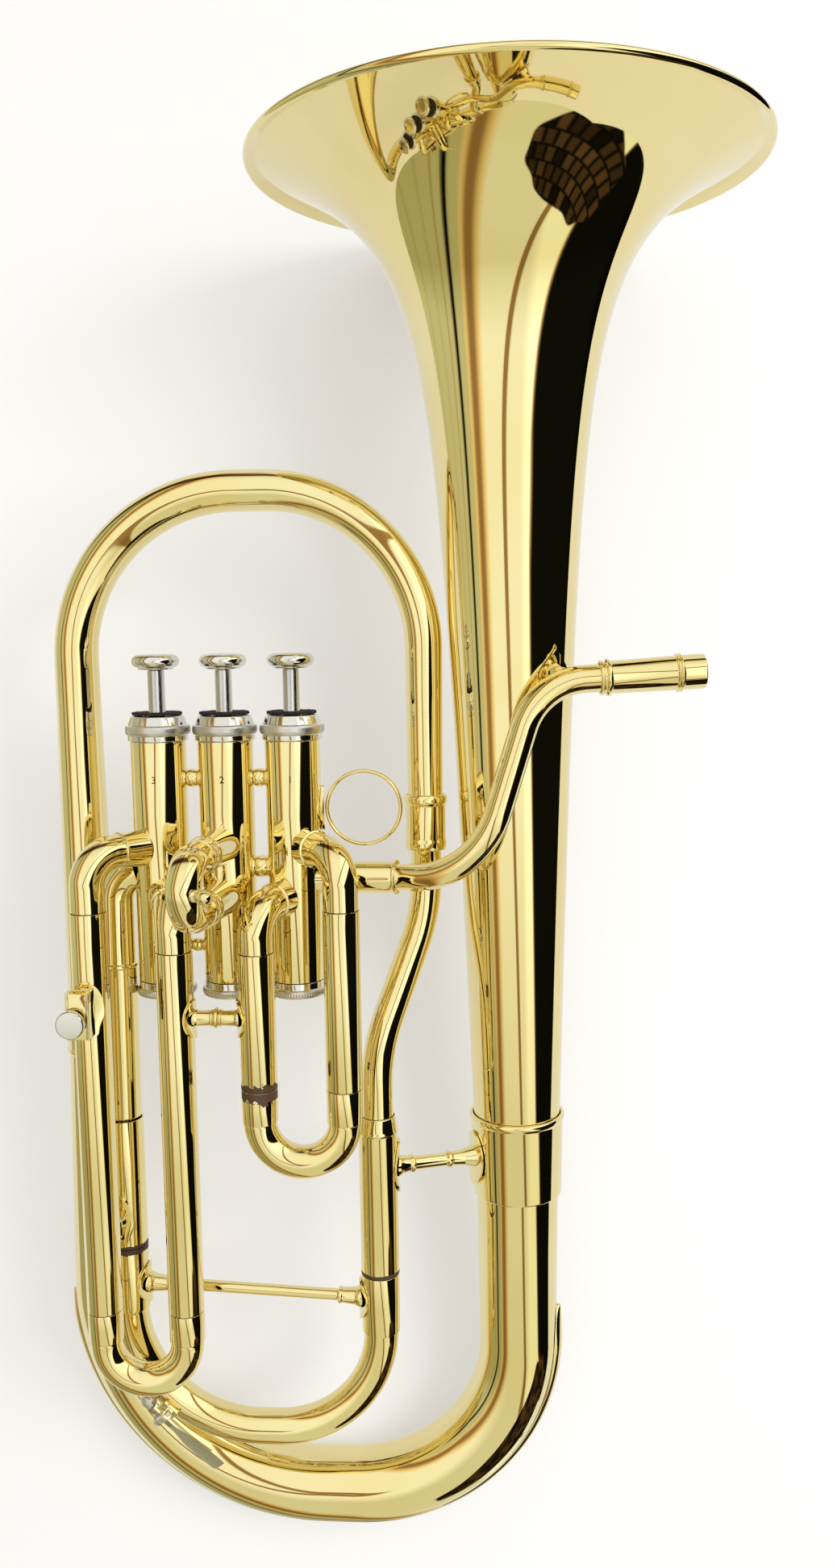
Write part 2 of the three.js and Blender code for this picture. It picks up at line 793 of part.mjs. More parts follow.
function makeTopBow(horn) {
  const length = topBowRoute.length;
  const profile = [
    [0, topBowSmallRadius],
    [topBowMiddleShare * length, topBowMiddleRadius],
    [topBowBranchShare * length, topBowBranchRadius],
    [length, topBowLargeRadius],
  ];
  const bow = pipe(topBowRoute, profile, thinned(profile, tubeWall), { sides: topBowSides });
  addPart(horn, "top_bow", bow, "lacquer");
  const bowInFerrule = bottomBowRoute.length - 2 * (branchFerruleBottom - bowBranchDrop);
  const branchFerrule = ferrule({
    top: branchFerruleTop,
    bottom: branchFerruleBottom,
    topBore: topBowLargeRadius + seatGap,
    bottomBore: radiusAt(bottomBowProfile, bowInFerrule) + seatGap,
    wall: branchFerruleWall,
    topBead: branchFerruleBead,
    bottomBead: branchFerruleBead,
    beadHeight: branchFerruleBeadHeight,
    sides: topBowSides,
  });
  addPart(horn, "branch_ferrule", branchFerrule, "lacquer").position.copy(at(bowLeftSide, 0));
  const topFerrule = ferrule({
    top: topFerruleTop,
    bottom: topFerruleBottom,
    topBore: topBowSmallRadius + seatGap,
    bottomBore: topBowSmallRadius + seatGap,
    wall: topFerruleWall,
    topBead: topFerruleBead,
    bottomBead: topFerruleLowBead,
    beadHeight: topFerruleBeadHeight,
    sides: topBowSides,
  });
  addPart(horn, "top_bow_ferrule", topFerrule, "lacquer").position.copy(at(topBowRightSide, 0));
}

function makeReturnPipe(horn) {
  const route = new Route([
    { point: at(topBowRightSide, topBowEndDrop + seatGap) },
    { point: at(topBowRightSide, returnUpperDrop), bend: returnBend },
    { point: at(mainRightSide, returnLowerDrop, mainFront), bend: returnBend },
    { point: at(mainRightSide, returnEndDrop, mainFront) },
  ]);
  addPart(horn, "return_pipe", pipe(
    route,
    [[0, returnRadius], [route.length, returnRadius]],
    [[0, returnRadius - tubeWall], [route.length, returnRadius - tubeWall]],
  ), "lacquer");
}

function straightTube(side, front, top, bottom, outside, bore, facing = outOfHorn) {
  const route = new Route([{ point: at(side, top, front) }, { point: at(side, bottom, front) }]);
  const profile = (radius) => [[0, radius], [route.length, radius]];
  return pipe(route, profile(outside), profile(bore), { boreSides: tubeSides, facing });
}

const mainBowRoute = new Route([
  { point: at(mainRightSide, mainLegTopDrop, mainFront) },
  { point: at(mainRightSide, mainBowDrop, mainFront), bend: mainRightBend },
  { point: at(mainLeftSide, mainBowDrop, mainFront), bend: mainLeftBend },
  { point: at(mainLeftSide, mainLegTopDrop, mainFront) },
]);

function keyFrame() {
  const centre = at(mainLeftSide + mainLeftBend, mainBowDrop - mainLeftBend, mainFront);
  const outward = new THREE.Vector3(-Math.cos(keyAngle), -Math.sin(keyAngle), 0);
  const along = new THREE.Vector3(Math.sin(keyAngle), -Math.cos(keyAngle), 0);
  const tube = centre.clone().addScaledVector(outward, mainLeftBend);
  const up = outward.clone().multiplyScalar(Math.cos(keyLean)).addScaledVector(outOfHorn, Math.sin(keyLean));
  const across = along.clone().cross(up);
  return new THREE.Matrix4().makeBasis(along, up, across).setPosition(tube);
}

function makeMainSlide(horn) {
  const bore = mainLegRadius + slideGap;
  const cap = [
    [returnRadius + seatGap, mainSleeveTopDrop - mainCapHeight / 2],
    [returnRadius + seatGap, mainSleeveTopDrop + mainCapHeight / 2],
    [bore, mainSleeveTopDrop + mainCapHeight],
    [bore, mainRightSleeveEnd],
    [mainSleeveRadius, mainRightSleeveEnd],
    [mainSleeveRadius, mainSleeveTopDrop + mainCapHeight / 4],
    [returnRadius + 2 * seatGap, mainSleeveTopDrop - mainCapHeight / 2],
  ];
  addPart(horn, "main_sleeve_right", turnedAtDrops(cap, tubeSides), "lacquer")
    .position.copy(at(mainRightSide, 0, mainFront));

  const outletSide = valveSide(3);
  const outletRoute = new Route([
    { point: at(outletSide, outletDrop, valveFront) },
    { point: at(mainLeftSide, outletDrop, valveFront), bend: outletBend },
    { point: at(mainLeftSide, outletMidDrop, mainFront) },
  ]);
  const collar = outletRoute.length - (outletMidDrop - outletCollarDrop);
  const elbow = pipe(
    outletRoute,
    [
      [0, outletRadius],
      [collar, outletRadius],
      [collar, outletCollarRadius],
      [outletRoute.length, outletCollarRadius],
    ],
    [[0, outletRadius - tubeWall], [outletRoute.length, outletRadius - tubeWall]],
  );
  addPart(horn, "main_outlet_elbow", cutBy(elbow, casingCutter(3)), "lacquer");
  addPart(horn, "main_sleeve_left", turnedAtDrops([
    [bore, mainLeftSleeveEnd],
    [bore, outletMidDrop + 2 * seatGap],
    [mainSleeveRadius, outletMidDrop + 2 * seatGap],
    [mainSleeveRadius, mainLeftSleeveEnd],
  ], tubeSides), "lacquer").position.copy(at(mainLeftSide, 0, mainFront));

  const length = mainBowRoute.length;
  const rightEnd = mainRightSleeveEnd + seatGap - mainLegTopDrop;
  const rightFerrule = mainRightFerruleEnd - mainLegTopDrop;
  const leftEnd = length - (mainLeftSleeveEnd + seatGap - mainLegTopDrop);
  const leftFerrule = length - (mainLeftFerruleEnd - mainLegTopDrop);
  const bow = pipe(mainBowRoute, [
    [0, mainLegRadius],
    [rightEnd, mainLegRadius],
    [rightEnd, mainFerruleRadius],
    [rightFerrule, mainFerruleRadius],
    [rightFerrule, mainBowRadius],
    [leftFerrule, mainBowRadius],
    [leftFerrule, mainFerruleRadius],
    [leftEnd, mainFerruleRadius],
    [leftEnd, mainLegRadius],
    [length, mainLegRadius],
  ], [[0, mainLegRadius - tubeWall], [length, mainLegRadius - tubeWall]]);
  const frame = keyFrame();
  const nippleTop = mainBowRadius + keyPivotHeight - keyCupHeight - keyCorkHeight + seatGap;
  const nipple = turned([
    [0, mainBowRadius - tubeWall],
    [keyNippleRadius, mainBowRadius - tubeWall],
    [keyNippleRadius, nippleTop],
    [0, nippleTop],
  ], smallSides).translate(-keyCupReach, 0, 0).applyMatrix4(frame);
  const drain = turned([
    [0, 0],
    [keyNippleBore, 0],
    [keyNippleBore, nippleTop + cutOverrun],
    [0, nippleTop + cutOverrun],
  ], smallSides).translate(-keyCupReach, 0, 0).applyMatrix4(frame);
  addPart(horn, "main_slide_bow", cutBy(joined(bow, nipple), drain), "lacquer");
}

function makeMainBrace(horn) {
  const left = at(mainLeftSide, mainBraceLeftDrop, mainFront);
  const right = at(mainRightSide, mainBraceRightDrop, mainFront);
  const run = right.clone().sub(left).normalize();
  const seat = mainFerruleRadius + seatGap;
  const start = left.clone().addScaledVector(run, seat + flangeThickness / 2);
  const end = right.clone().addScaledVector(run, -seat - flangeThickness / 2);
  const length = end.distanceTo(start);
  const rod = aimed(turned([
    [0, 0],
    [mainBraceEndRadius, 0],
    [mainBraceFootRadius, mainBraceFootLength],
    [mainBraceRadius, mainBraceFootLength],
    [mainBraceRadius, length - mainBraceFootLength],
    [mainBraceFootRadius, length - mainBraceFootLength],
    [mainBraceEndRadius, length],
    [0, length],
  ], smallSides), start, run);
  const oval = { length: mainBraceFlangeLength, width: mainBraceFlangeWidth };
  const brace = joined(
    rod,
    hugFlange({ centre: left, radius: mainFerruleRadius }, toTheRight, oval),
    hugFlange({ centre: right, radius: mainFerruleRadius }, toTheLeft, oval),
  );
  addPart(horn, "main_slide_brace", brace, "lacquer");
}

function makeWaterKey(horn) {
  const frame = keyFrame();
  const pivot = mainBowRadius + seatGap + keyPivotHeight;
  const lugGap = keyPivotHalfWidth - keyLugThickness;
  const saddleTop = mainBowRadius + seatGap + flangeThickness;
  const lug = (side) => {
    const plate = turned([
      [0, 0],
      [keyLugRadius, 0],
      [keyLugRadius, keyLugThickness],
      [0, keyLugThickness],
    ], smallSides).rotateX(quarterTurn).translate(0, pivot, side);
    const web = new THREE.BoxGeometry(keyLugWebWidth, pivot - saddleTop + keyLugRadius / 2, keyLugThickness)
      .translate(0, (pivot + saddleTop) / 2 - keyLugRadius / 4, side + keyLugThickness / 2);
    return joined(plate, web);
  };
  const base = cutBy(
    new THREE.BoxGeometry(keySaddleLength, keyPivotHeight, keyPivotHalfWidth * 2 + keyLugThickness)
      .translate(0, saddleTop - keyPivotHeight / 2, 0),
    turned([
      [0, -keyCupReach * 2],
      [mainBowRadius + seatGap, -keyCupReach * 2],
      [mainBowRadius + seatGap, keyCupReach * 2],
      [0, keyCupReach * 2],
    ], tubeSides * 2).rotateZ(quarterTurn),
  );
  const saddle = joined(base, lug(lugGap), lug(-lugGap - keyLugThickness));
  const pinHole = turned([
    [0, -keyPivotHalfWidth * 2],
    [keyPinRadius + seatGap, -keyPivotHalfWidth * 2],
    [keyPinRadius + seatGap, keyPivotHalfWidth * 2],
    [0, keyPivotHalfWidth * 2],
  ], smallSides).rotateX(quarterTurn).translate(0, pivot, 0);
  addPart(horn, "water_key_saddle", cutBy(saddle, pinHole).applyMatrix4(frame), "lacquer");

  const plateBase = pivot + keyPinRadius;
  const outline = new THREE.Shape();
  const half = keyTouchWidth / 2;
  const neck = keyNeckWidth / 2;
  outline.moveTo(-keyCupReach, -neck);
  outline.lineTo(keyNeckLength, -neck);
  outline.lineTo(keyNeckLength + half, -half);
  outline.lineTo(keyTouchLength - half, -half);
  outline.quadraticCurveTo(keyTouchLength, -half, keyTouchLength, 0);
  outline.quadraticCurveTo(keyTouchLength, half, keyTouchLength - half, half);
  outline.lineTo(keyNeckLength + half, half);
  outline.lineTo(keyNeckLength, neck);
  outline.lineTo(-keyCupReach, neck);
  outline.closePath();
  const plate = new THREE.ExtrudeGeometry(outline, {
    depth: keyPlateThickness,
    bevelEnabled: false,
    curveSegments: 3,
  }).rotateX(-quarterTurn).translate(0, plateBase, 0);
  const hub = turned([
    [0, -lugGap + seatGap],
    [keyLugRadius, -lugGap + seatGap],
    [keyLugRadius, lugGap - seatGap],
    [0, lugGap - seatGap],
  ], smallSides).rotateX(quarterTurn).translate(0, pivot, 0);
  const springStart = keyPivotHalfWidth + seatGap;
  const pin = turned([
    [0, -keyPivotHalfWidth - keyPinRadius],
    [keyPinRadius, -keyPivotHalfWidth - keyPinRadius],
    [keyPinRadius, springStart + keySpringLength],
    [0, springStart + keySpringLength],
  ], smallSides).rotateX(quarterTurn).translate(0, pivot, 0);
  const cupTop = plateBase + keyPlateThickness / 2;
  const corkTop = pivot - keyCupHeight + seatGap;
  const cup = turned([
    [0, corkTop],
    [keyCupRadius, corkTop],
    [keyCupRadius, corkTop + keyCupHeight],
    [keyNeckWidth / 2, cupTop],
    [0, cupTop],
  ], smallSides).translate(-keyCupReach, 0, 0);
  addPart(horn, "water_key_lever", joined(plate, hub, pin, cup).applyMatrix4(frame), "nickel");
  const spring = turned([
    [keyPinRadius + seatGap, springStart],
    [keySpringRadius, springStart],
    [keySpringRadius, springStart + keySpringLength],
    [keyPinRadius + seatGap, springStart + keySpringLength],
  ], smallSides).rotateX(quarterTurn).translate(0, pivot, 0);
  addPart(horn, "water_key_spring", spring.applyMatrix4(frame), "steel");
  const cork = turned([
    [0, corkTop - seatGap],
    [keyCupRadius - seatGap, corkTop - seatGap],
    [keyCupRadius - seatGap, corkTop - keyCorkHeight],
    [0, corkTop - keyCorkHeight],
  ], smallSides).translate(-keyCupReach, 0, 0);
  addPart(horn, "water_key_cork", cork.applyMatrix4(frame), "cork");
}

function casingCutter(number) {
  return turnedAtDrops([
    [0, casingTop],
    [casingRadius + seatGap, casingTop],
    [casingRadius + seatGap, casingBottom],
    [0, casingBottom],
  ], valveSides).translate(valveSide(number), 0, valveFront);
}

function makeCasing(number) {
  const bore = casingRadius - casingWall;
  return turnedAtDrops([
    [bore, casingBottom],
    [bore, casingTop],
    [casingRadius, casingTop],
    [casingRadius, casingBottom],
  ], valveSides).translate(valveSide(number), 0, valveFront);
}

// The joints soldered between two casings: an upper ball, a lower ball and a wind passage
function casingJoints(rightNumber) {
  const left = valveSide(rightNumber + 1);
  const ballJoint = (drop, radius) => {
    const neck = radius * ballNeckShare;
    const middle = valveSpacing / 2;
    return aimed(turned([
      [0, 0],
      [neck, 0],
      [neck, middle - radius],
      [radius, middle - radius * ballFlatShare],
      [radius, middle + radius * ballFlatShare],
      [neck, middle + radius],
      [neck, valveSpacing],
      [0, valveSpacing],
    ], smallSides), at(left, drop, valveFront), toTheRight);
  };
  return [
    ballJoint(upperBallDrop, upperBallRadius),
    ballJoint(lowerBallDrop, lowerBallRadius),
    ballJoint(transferDrop, transferRadius),
  ];
}

function makeValves(horn) {
  for (let number = 1; number <= valveCount; number += 1) {
    const centre = at(valveSide(number), 0, valveFront);
    if (number !== 2) addPart(horn, `casing_${number}`, makeCasing(number), "lacquer");
    makeCaps(horn, number, centre);
    makePiston(horn, number, centre);
  }
  const inside = turnedAtDrops([
    [0, casingTop],
    [casingRadius - casingWall, casingTop],
    [casingRadius - casingWall, casingBottom],
    [0, casingBottom],
  ], valveSides).translate(valveSide(2), 0, valveFront);
  const middle = joined(makeCasing(2), ...casingJoints(1), ...casingJoints(2));
  addPart(horn, "casing_2", cutBy(middle, inside, casingCutter(1), casingCutter(3)), "lacquer");
}

function makeCaps(horn, number, centre) {
  const hole = stemRadius + stemHoleGap;
  const casingBore = casingRadius - casingWall;
  const topCap = turnedAtDrops([
    [hole, topCapConeTop],
    [topCapConeRadius, topCapConeTop],
    [topCapBandRadius, topCapRingTop],
    [topCapRingRadius, topCapRingTop + capChamfer],
    [topCapRingRadius, topCapRingBottom - capChamfer],
    [topCapBandRadius, topCapRingBottom],
    [topCapBandRadius, casingTop - seatGap],
    [casingBore, casingTop - seatGap],
    [casingBore, topCapConeTop + topCapPlate],
    [hole, topCapConeTop + topCapPlate],
  ], valveSides);
  addPart(horn, `top_cap_${number}`, topCap, "nickel").position.copy(centre);
  const felt = turnedAtDrops([
    [hole, topCapConeTop - seatGap - feltThickness],
    [feltRadius, topCapConeTop - seatGap - feltThickness],
    [feltRadius, topCapConeTop - seatGap],
    [hole, topCapConeTop - seatGap],
  ], valveSides);
  addPart(horn, `cap_felt_${number}`, felt, "felt").position.copy(centre);
  const bottomCap = turnedAtDrops([
    [bottomCapHoleRadius, bottomCapEnd],
    [bottomCapHoleRadius, bottomCapEnd - bottomCapFloor],
    [casingBore, bottomCapEnd - bottomCapFloor],
    [casingBore, casingBottom + seatGap],
    [casingRadius, casingBottom + seatGap],
    [casingRadius, bottomCapEnd - bottomCapBandHeight],
    [bottomCapRadius, bottomCapEnd - bottomCapBandHeight + capChamfer],
    [bottomCapRadius, bottomCapEnd - capChamfer],
    [casingRadius, bottomCapEnd],
  ], valveSides);
  addPart(horn, `bottom_cap_${number}`, bottomCap, "nickel").position.copy(centre);
}

function makePiston(horn, number, centre) {
  const radius = casingRadius - casingWall - seatGap;
  const top = topCapConeTop + topCapPlate + pistonHeadGap;
  const bottom = top + pistonLength;
  const tip = buttonTop + buttonSocketDepth;
  const piston = turnedAtDrops([
    [0, tip],
    [buttonSocketRadius, tip],
    [buttonSocketRadius, buttonBottom + seatGap],
    [stemRadius, buttonBottom + seatGap],
    [stemRadius, top],
    [radius - sheetWall, top],
    [radius, top + sheetWall],
    [radius, bottom],
    [0, bottom],
  ], valveSides);
  addPart(horn, `piston_${number}`, piston, "piston").position.copy(centre);
  const button = turnedAtDrops([
    [0, tip - seatGap],
    [buttonSocketRadius + seatGap, tip - seatGap],
    [buttonSocketRadius + seatGap, buttonBottom],
    ...buttonOutlineShares.map(([wide, deep]) => [
      wide * buttonRadius,
      buttonTop + deep * (buttonBottom - buttonTop),
    ]),
    [0, buttonTop + buttonDishDepth],
  ], valveSides);
  addPart(horn, `button_${number}`, button, "nickel").position.copy(centre);
  const springTop = bottom + seatGap + springWire;
  const springBottom = bottomCapEnd - bottomCapFloor - seatGap - springWire;
  addPart(horn, `valve_spring_${number}`, coil(springTop, springBottom), "steel").position.copy(centre);
}

// A coil about y between two drops
function coil(top, bottom) {
  const steps = springTurns * springTurnSteps;
  const rings = Array.from({ length: steps + 1 }, (_, i) => {
    const turn = (2 * Math.PI * i) / springTurnSteps;
    const drop = top + ((bottom - top) * i) / steps;
    return Array.from({ length: springWireSides }, (_, k) => {
      const angle = (2 * Math.PI * k) / springWireSides;
      const radius = springRadius + springWire * Math.cos(angle);
      return at(radius * Math.cos(turn), drop + springWire * Math.sin(angle), radius * Math.sin(turn));
    });
  });
  const triangles = [];
  const index = (ring, k) => ring * springWireSides + (k % springWireSides);
  for (let ring = 0; ring < steps; ring += 1) {
    for (let k = 0; k < springWireSides; k += 1) {
      triangles.push([index(ring, k), index(ring, k + 1), index(ring + 1, k + 1)]);
      triangles.push([index(ring, k), index(ring + 1, k + 1), index(ring + 1, k)]);
    }
  }
  for (let k = 1; k < springWireSides - 1; k += 1) {
    triangles.push([index(0, 0), index(0, k + 1), index(0, k)]);
    triangles.push([index(steps, 0), index(steps, k), index(steps, k + 1)]);
  }
  return geometryFrom(rings.flat(), triangles);
}

// A knuckle that leaves a casing level and bends down to a slide leg
function knuckle(number, port, side, ring) {
  const route = new Route([
    { point: at(valveSide(number), port, valveFront) },
    { point: at(side, port, slideFront), bend: knuckleBend },
    { point: at(side, ring, slideFront) },
  ]);
  const body = pipe(
    route,
    [[0, knuckleRadius], [route.length, knuckleRadius]],
    [[0, knuckleRadius - tubeWall], [route.length, knuckleRadius - tubeWall]],
  );
  return cutBy(body, casingCutter(number));
}

// The sliding crook of a long valve slide: two legs, their ferrules and the bend between them
function slideCrook({ rightSide, leftSide, rightTop, leftTop, sleeveEnd, ferruleEnd, crookDrop, crookBend }) {
  const route = new Route([
    { point: at(rightSide, rightTop, slideFront) },
    { point: at(rightSide, crookDrop, slideFront), bend: crookBend },
    { point: at(leftSide, crookDrop, slideFront), bend: crookBend },
    { point: at(leftSide, leftTop, slideFront) },
  ]);
  const total = route.length;
  const rightStep = sleeveEnd + seatGap - rightTop;
  const leftStep = total - (sleeveEnd + seatGap - leftTop);
  const rightFerrule = ferruleEnd - rightTop;
  const leftFerrule = total - (ferruleEnd - leftTop);
  return pipe(route, [
    [0, slideLegRadius],
    [rightStep, slideLegRadius],
    [rightStep, slideFerruleRadius],
    [rightFerrule, slideFerruleRadius],
    [rightFerrule, slideCrookRadius],
    [leftFerrule, slideCrookRadius],
    [leftFerrule, slideFerruleRadius],
    [leftStep, slideFerruleRadius],
    [leftStep, slideLegRadius],
    [total, slideLegRadius],
  ], [[0, slideLegRadius - tubeWall], [total, slideLegRadius - tubeWall]]);
}

function makeLongSlide(horn, number, sizes) {
  const { upper, lower, sleeveEnd } = sizes;
  const bore = slideLegRadius + slideGap;
  for (const [label, { side, port, ring }] of Object.entries({ upper, lower })) {
    addPart(horn, `slide_${number}_knuckle_${label}`, knuckle(number, port, side, ring), "lacquer");
    const sleeve = straightTube(side, slideFront, ring + seatGap, sleeveEnd, slideSleeveRadius, bore);
    addPart(horn, `slide_${number}_sleeve_${label}`, sleeve, "lacquer");
  }
  const [right, left] = upper.side > lower.side ? [upper, lower] : [lower, upper];
  addPart(horn, `slide_${number}_crook`, slideCrook({
    rightSide: right.side,
    leftSide: left.side,
    rightTop: right.ring + slideLegInset,
    leftTop: left.ring + slideLegInset,
    sleeveEnd,
    ferruleEnd: sizes.ferruleEnd,
    crookDrop: sizes.crookDrop,
    crookBend: sizes.crookBend,
  }), "lacquer");
}

function secondSlidePoint(drop, front) {
  const share = (front - valveFront) / (secondCrookFront - valveFront);
  return at(valveSide(2) + secondLeanSide * share, drop, front);
}

function makeSecondSlide(horn) {
  const bore = slideLegRadius + slideGap;
  for (const [label, port] of [["upper", secondUpperPort], ["lower", secondLowerPort]]) {
    const route = new Route([
      { point: secondSlidePoint(port, valveFront) },
      { point: secondSlidePoint(port, secondSleeveFront) },
    ]);
    const sleeve = pipe(
      route,
      [[0, slideSleeveRadius], [route.length, slideSleeveRadius]],
      [[0, bore], [route.length, bore]],
      { boreSides: tubeSides, facing: upTheHorn },
    );
    addPart(horn, `slide_2_sleeve_${label}`, cutBy(sleeve, casingCutter(2)), "lacquer");
  }
  const route = new Route([
    { point: secondSlidePoint(secondUpperPort, secondLegInsetFront) },
    { point: secondSlidePoint(secondUpperPort, secondCrookFront), bend: secondCrookBend },
    { point: secondSlidePoint(secondLowerPort, secondCrookFront), bend: secondCrookBend },
    { point: secondSlidePoint(secondLowerPort, secondLegInsetFront) },
  ]);
  const total = route.length;
  const stretch = route.pieces[0].length / (secondCrookFront - secondLegInsetFront - secondCrookBend);
  const step = (secondSleeveFront + seatGap - secondLegInsetFront) * stretch;
  const ferruleStep = (secondFerruleFront - secondLegInsetFront) * stretch;
  const crook = pipe(route, [
    [0, slideLegRadius],
    [step, slideLegRadius],
    [step, slideFerruleRadius],
    [ferruleStep, slideFerruleRadius],
    [ferruleStep, slideCrookRadius],
    [total - ferruleStep, slideCrookRadius],
    [total - ferruleStep, slideFerruleRadius],
    [total - step, slideFerruleRadius],
    [total - step, slideLegRadius],
    [total, slideLegRadius],
  ], [[0, slideLegRadius - tubeWall], [total, slideLegRadius - tubeWall]], { facing: upTheHorn });
  const middle = secondSlidePoint((secondUpperPort + secondLowerPort) / 2, secondCrookFront);
  const pull = new THREE.Vector3(Math.sin(pullKnobAngle), 0, Math.cos(pullKnobAngle));
  const base = slideLegRadius - tubeWall / 2;
  const neckEnd = pullKnobLength - pullKnobRadius;
  const knob = aimed(turned([
    [0, base],
    [pullKnobStemRadius, base],
    [pullKnobStemRadius, slideLegRadius + neckEnd - pullKnobRadius],
    [pullKnobRadius, slideLegRadius + neckEnd - pullKnobRadius / 3],
    [pullKnobRadius, slideLegRadius + neckEnd + pullKnobRadius / 3],
    [pullKnobStemRadius, slideLegRadius + neckEnd + pullKnobRadius],
    [0, slideLegRadius + neckEnd + pullKnobRadius],
  ], smallSides), middle, pull);
  addPart(horn, "slide_2_crook", joined(crook, knob), "lacquer");
}

function makeLeadpipe(horn) {
  const receiverEnd = at(receiverEndSide, receiverDrop, receiverFront);
  const corner = at(leadpipeTopSide, leadpipeTopDrop, leadpipeTopFront);
  const run = corner.clone().sub(receiverEnd).normalize();
  const receiverLength = receiverEndSide - receiverStartSide;
  const collarStart = receiverLength - receiverCollarWidth;
  const ringStart = receiverRingInset;
  const bottomBore = leadpipeRadius + seatGap;
  const receiver = aimed(turned([
    [receiverBoreRadius, 0],
    [receiverRadius, 0],
    [receiverRadius, ringStart],
    [receiverRingRadius, ringStart + receiverRingWidth / 3],
    [receiverRingRadius, ringStart + (receiverRingWidth * 2) / 3],
    [receiverRadius, ringStart + receiverRingWidth],
    [receiverThroatRadius + tubeWall, collarStart],
    [receiverThroatRadius + tubeWall * 2, collarStart + tubeWall],
    [receiverThroatRadius + tubeWall * 2, receiverLength - tubeWall],
    [receiverThroatRadius + tubeWall, receiverLength],
    [bottomBore, receiverLength],
    [bottomBore, collarStart - receiverCollarWidth],
    [leadpipeRadius - tubeWall, collarStart - receiverCollarWidth],
  ], tubeSides), receiverEnd, run);
  addPart(horn, "receiver", receiver, "lacquer");

  const leadStart = receiverEnd.clone().addScaledVector(run, collarStart - receiverCollarWidth + seatGap);
  const casing = at(valveSide(1), leadpipeInletDrop, valveFront);
  const route = new Route([
    { point: leadStart },
    { point: corner, bend: leadpipeTopBend },
    { point: at(leadpipeLowSide, leadpipeLowDrop, leadpipeLowFront), bend: leadpipeLowBend },
    { point: at(connectorEndSide, leadpipeInletDrop, valveFront), bend: connectorBend },
    { point: casing },
  ]);
  const total = route.length;
  const connector = total - (connectorEndSide - valveSide(1));
  const ringEnd = connector + connectorRingWidth;
  const leadpipe = pipe(route, [
    [0, leadpipeRadius],
    [connector, leadpipeRadius],
    [connector, connectorRingRadius],
    [ringEnd, connectorRingRadius],
    [ringEnd, connectorRadius],
    [total, connectorRadius],
  ], [[0, leadpipeRadius - tubeWall], [total, leadpipeRadius - tubeWall]], { facing: outOfHorn });
  addPart(horn, "leadpipe", cutBy(leadpipe, casingCutter(1)), "lacquer");
  makeLeadpipeSaddle(horn, route);
}

// The pointed saddle that carries the leadpipe on the bell stem
function makeLeadpipeSaddle(horn, route) {
  const onPipe = route.place(saddleInset).point;
  const saddleDrop = -onPipe.y - saddleRise;
  const axisPoint = at(Math.tan(bellLean) * saddleDrop, saddleDrop);
  const outward = onPipe.clone().sub(axisPoint).setY(0).normalize();
  const [top, bottom] = [saddleDrop - saddleLength / 2, saddleDrop + saddleLength / 2];
  const shell = turnedAtDrops([
    ...overBell(top, bottom, seatGap).reverse(),
    ...overBell(top, bottom, seatGap + flangeThickness),
  ], bellSides).rotateZ(bellLean);
  const outline = new THREE.Shape();
  outline.moveTo(-saddleLength / 2, 0);
  outline.quadraticCurveTo(0, -saddleWidth, saddleLength / 2, 0);
  outline.quadraticCurveTo(0, saddleWidth, -saddleLength / 2, 0);
  const across = outward.clone().cross(upTheHorn);
  const basis = new THREE.Matrix4().makeBasis(upTheHorn, across, outward).setPosition(axisPoint);
  const prism = new THREE.ExtrudeGeometry(outline, {
    depth: rimRadius,
    bevelEnabled: false,
    curveSegments: saddleSteps,
  });
  const plate = common(shell, prism.applyMatrix4(basis));
  const webStart = radiusAt(bellOutside, saddleDrop) + seatGap + flangeThickness / 2;
  const webEnd = onPipe.clone().addScaledVector(outward, -leadpipeRadius / 2);
  const web = rodBetween(axisPoint.clone().addScaledVector(outward, webStart), webEnd, saddleWebRadius);
  const pipeCut = pipe(
    route,
    [[0, leadpipeRadius + 2 * seatGap], [2 * saddleInset, leadpipeRadius + 2 * seatGap]],
    [[0, 0], [2 * saddleInset, 0]],
  );
  addPart(horn, "leadpipe_saddle", cutBy(joined(plate, web), pipeCut), "lacquer");
}

function makeFingerRing(horn) {
  const casingEdge = valveSide(1) + casingRadius;
  const outer = fingerRingRadius + fingerRingBand / 2;
  const centre = at(casingEdge + seatGap + fingerFootThickness + outer, fingerRingDrop, valveFront);
  const ring = turned([
    [fingerRingRadius - fingerRingBand / 2, -fingerRingWidth / 2],
    [outer, -fingerRingWidth / 2],
    [outer, fingerRingWidth / 2],
    [fingerRingRadius - fingerRingBand / 2, fingerRingWidth / 2],
  ], fingerRingSides).rotateX(quarterTurn).translate(...centre.toArray());
  const foot = hugFlange(
    { centre: at(valveSide(1), fingerRingDrop, valveFront), radius: casingRadius, sides: valveSides },
    toTheRight,
    { length: fingerFootHeight, width: fingerFootWidth, thickness: fingerFootThickness + fingerRingBand / 2 },
  );
  addPart(horn, "finger_ring", joined(ring, foot), "lacquer");
}

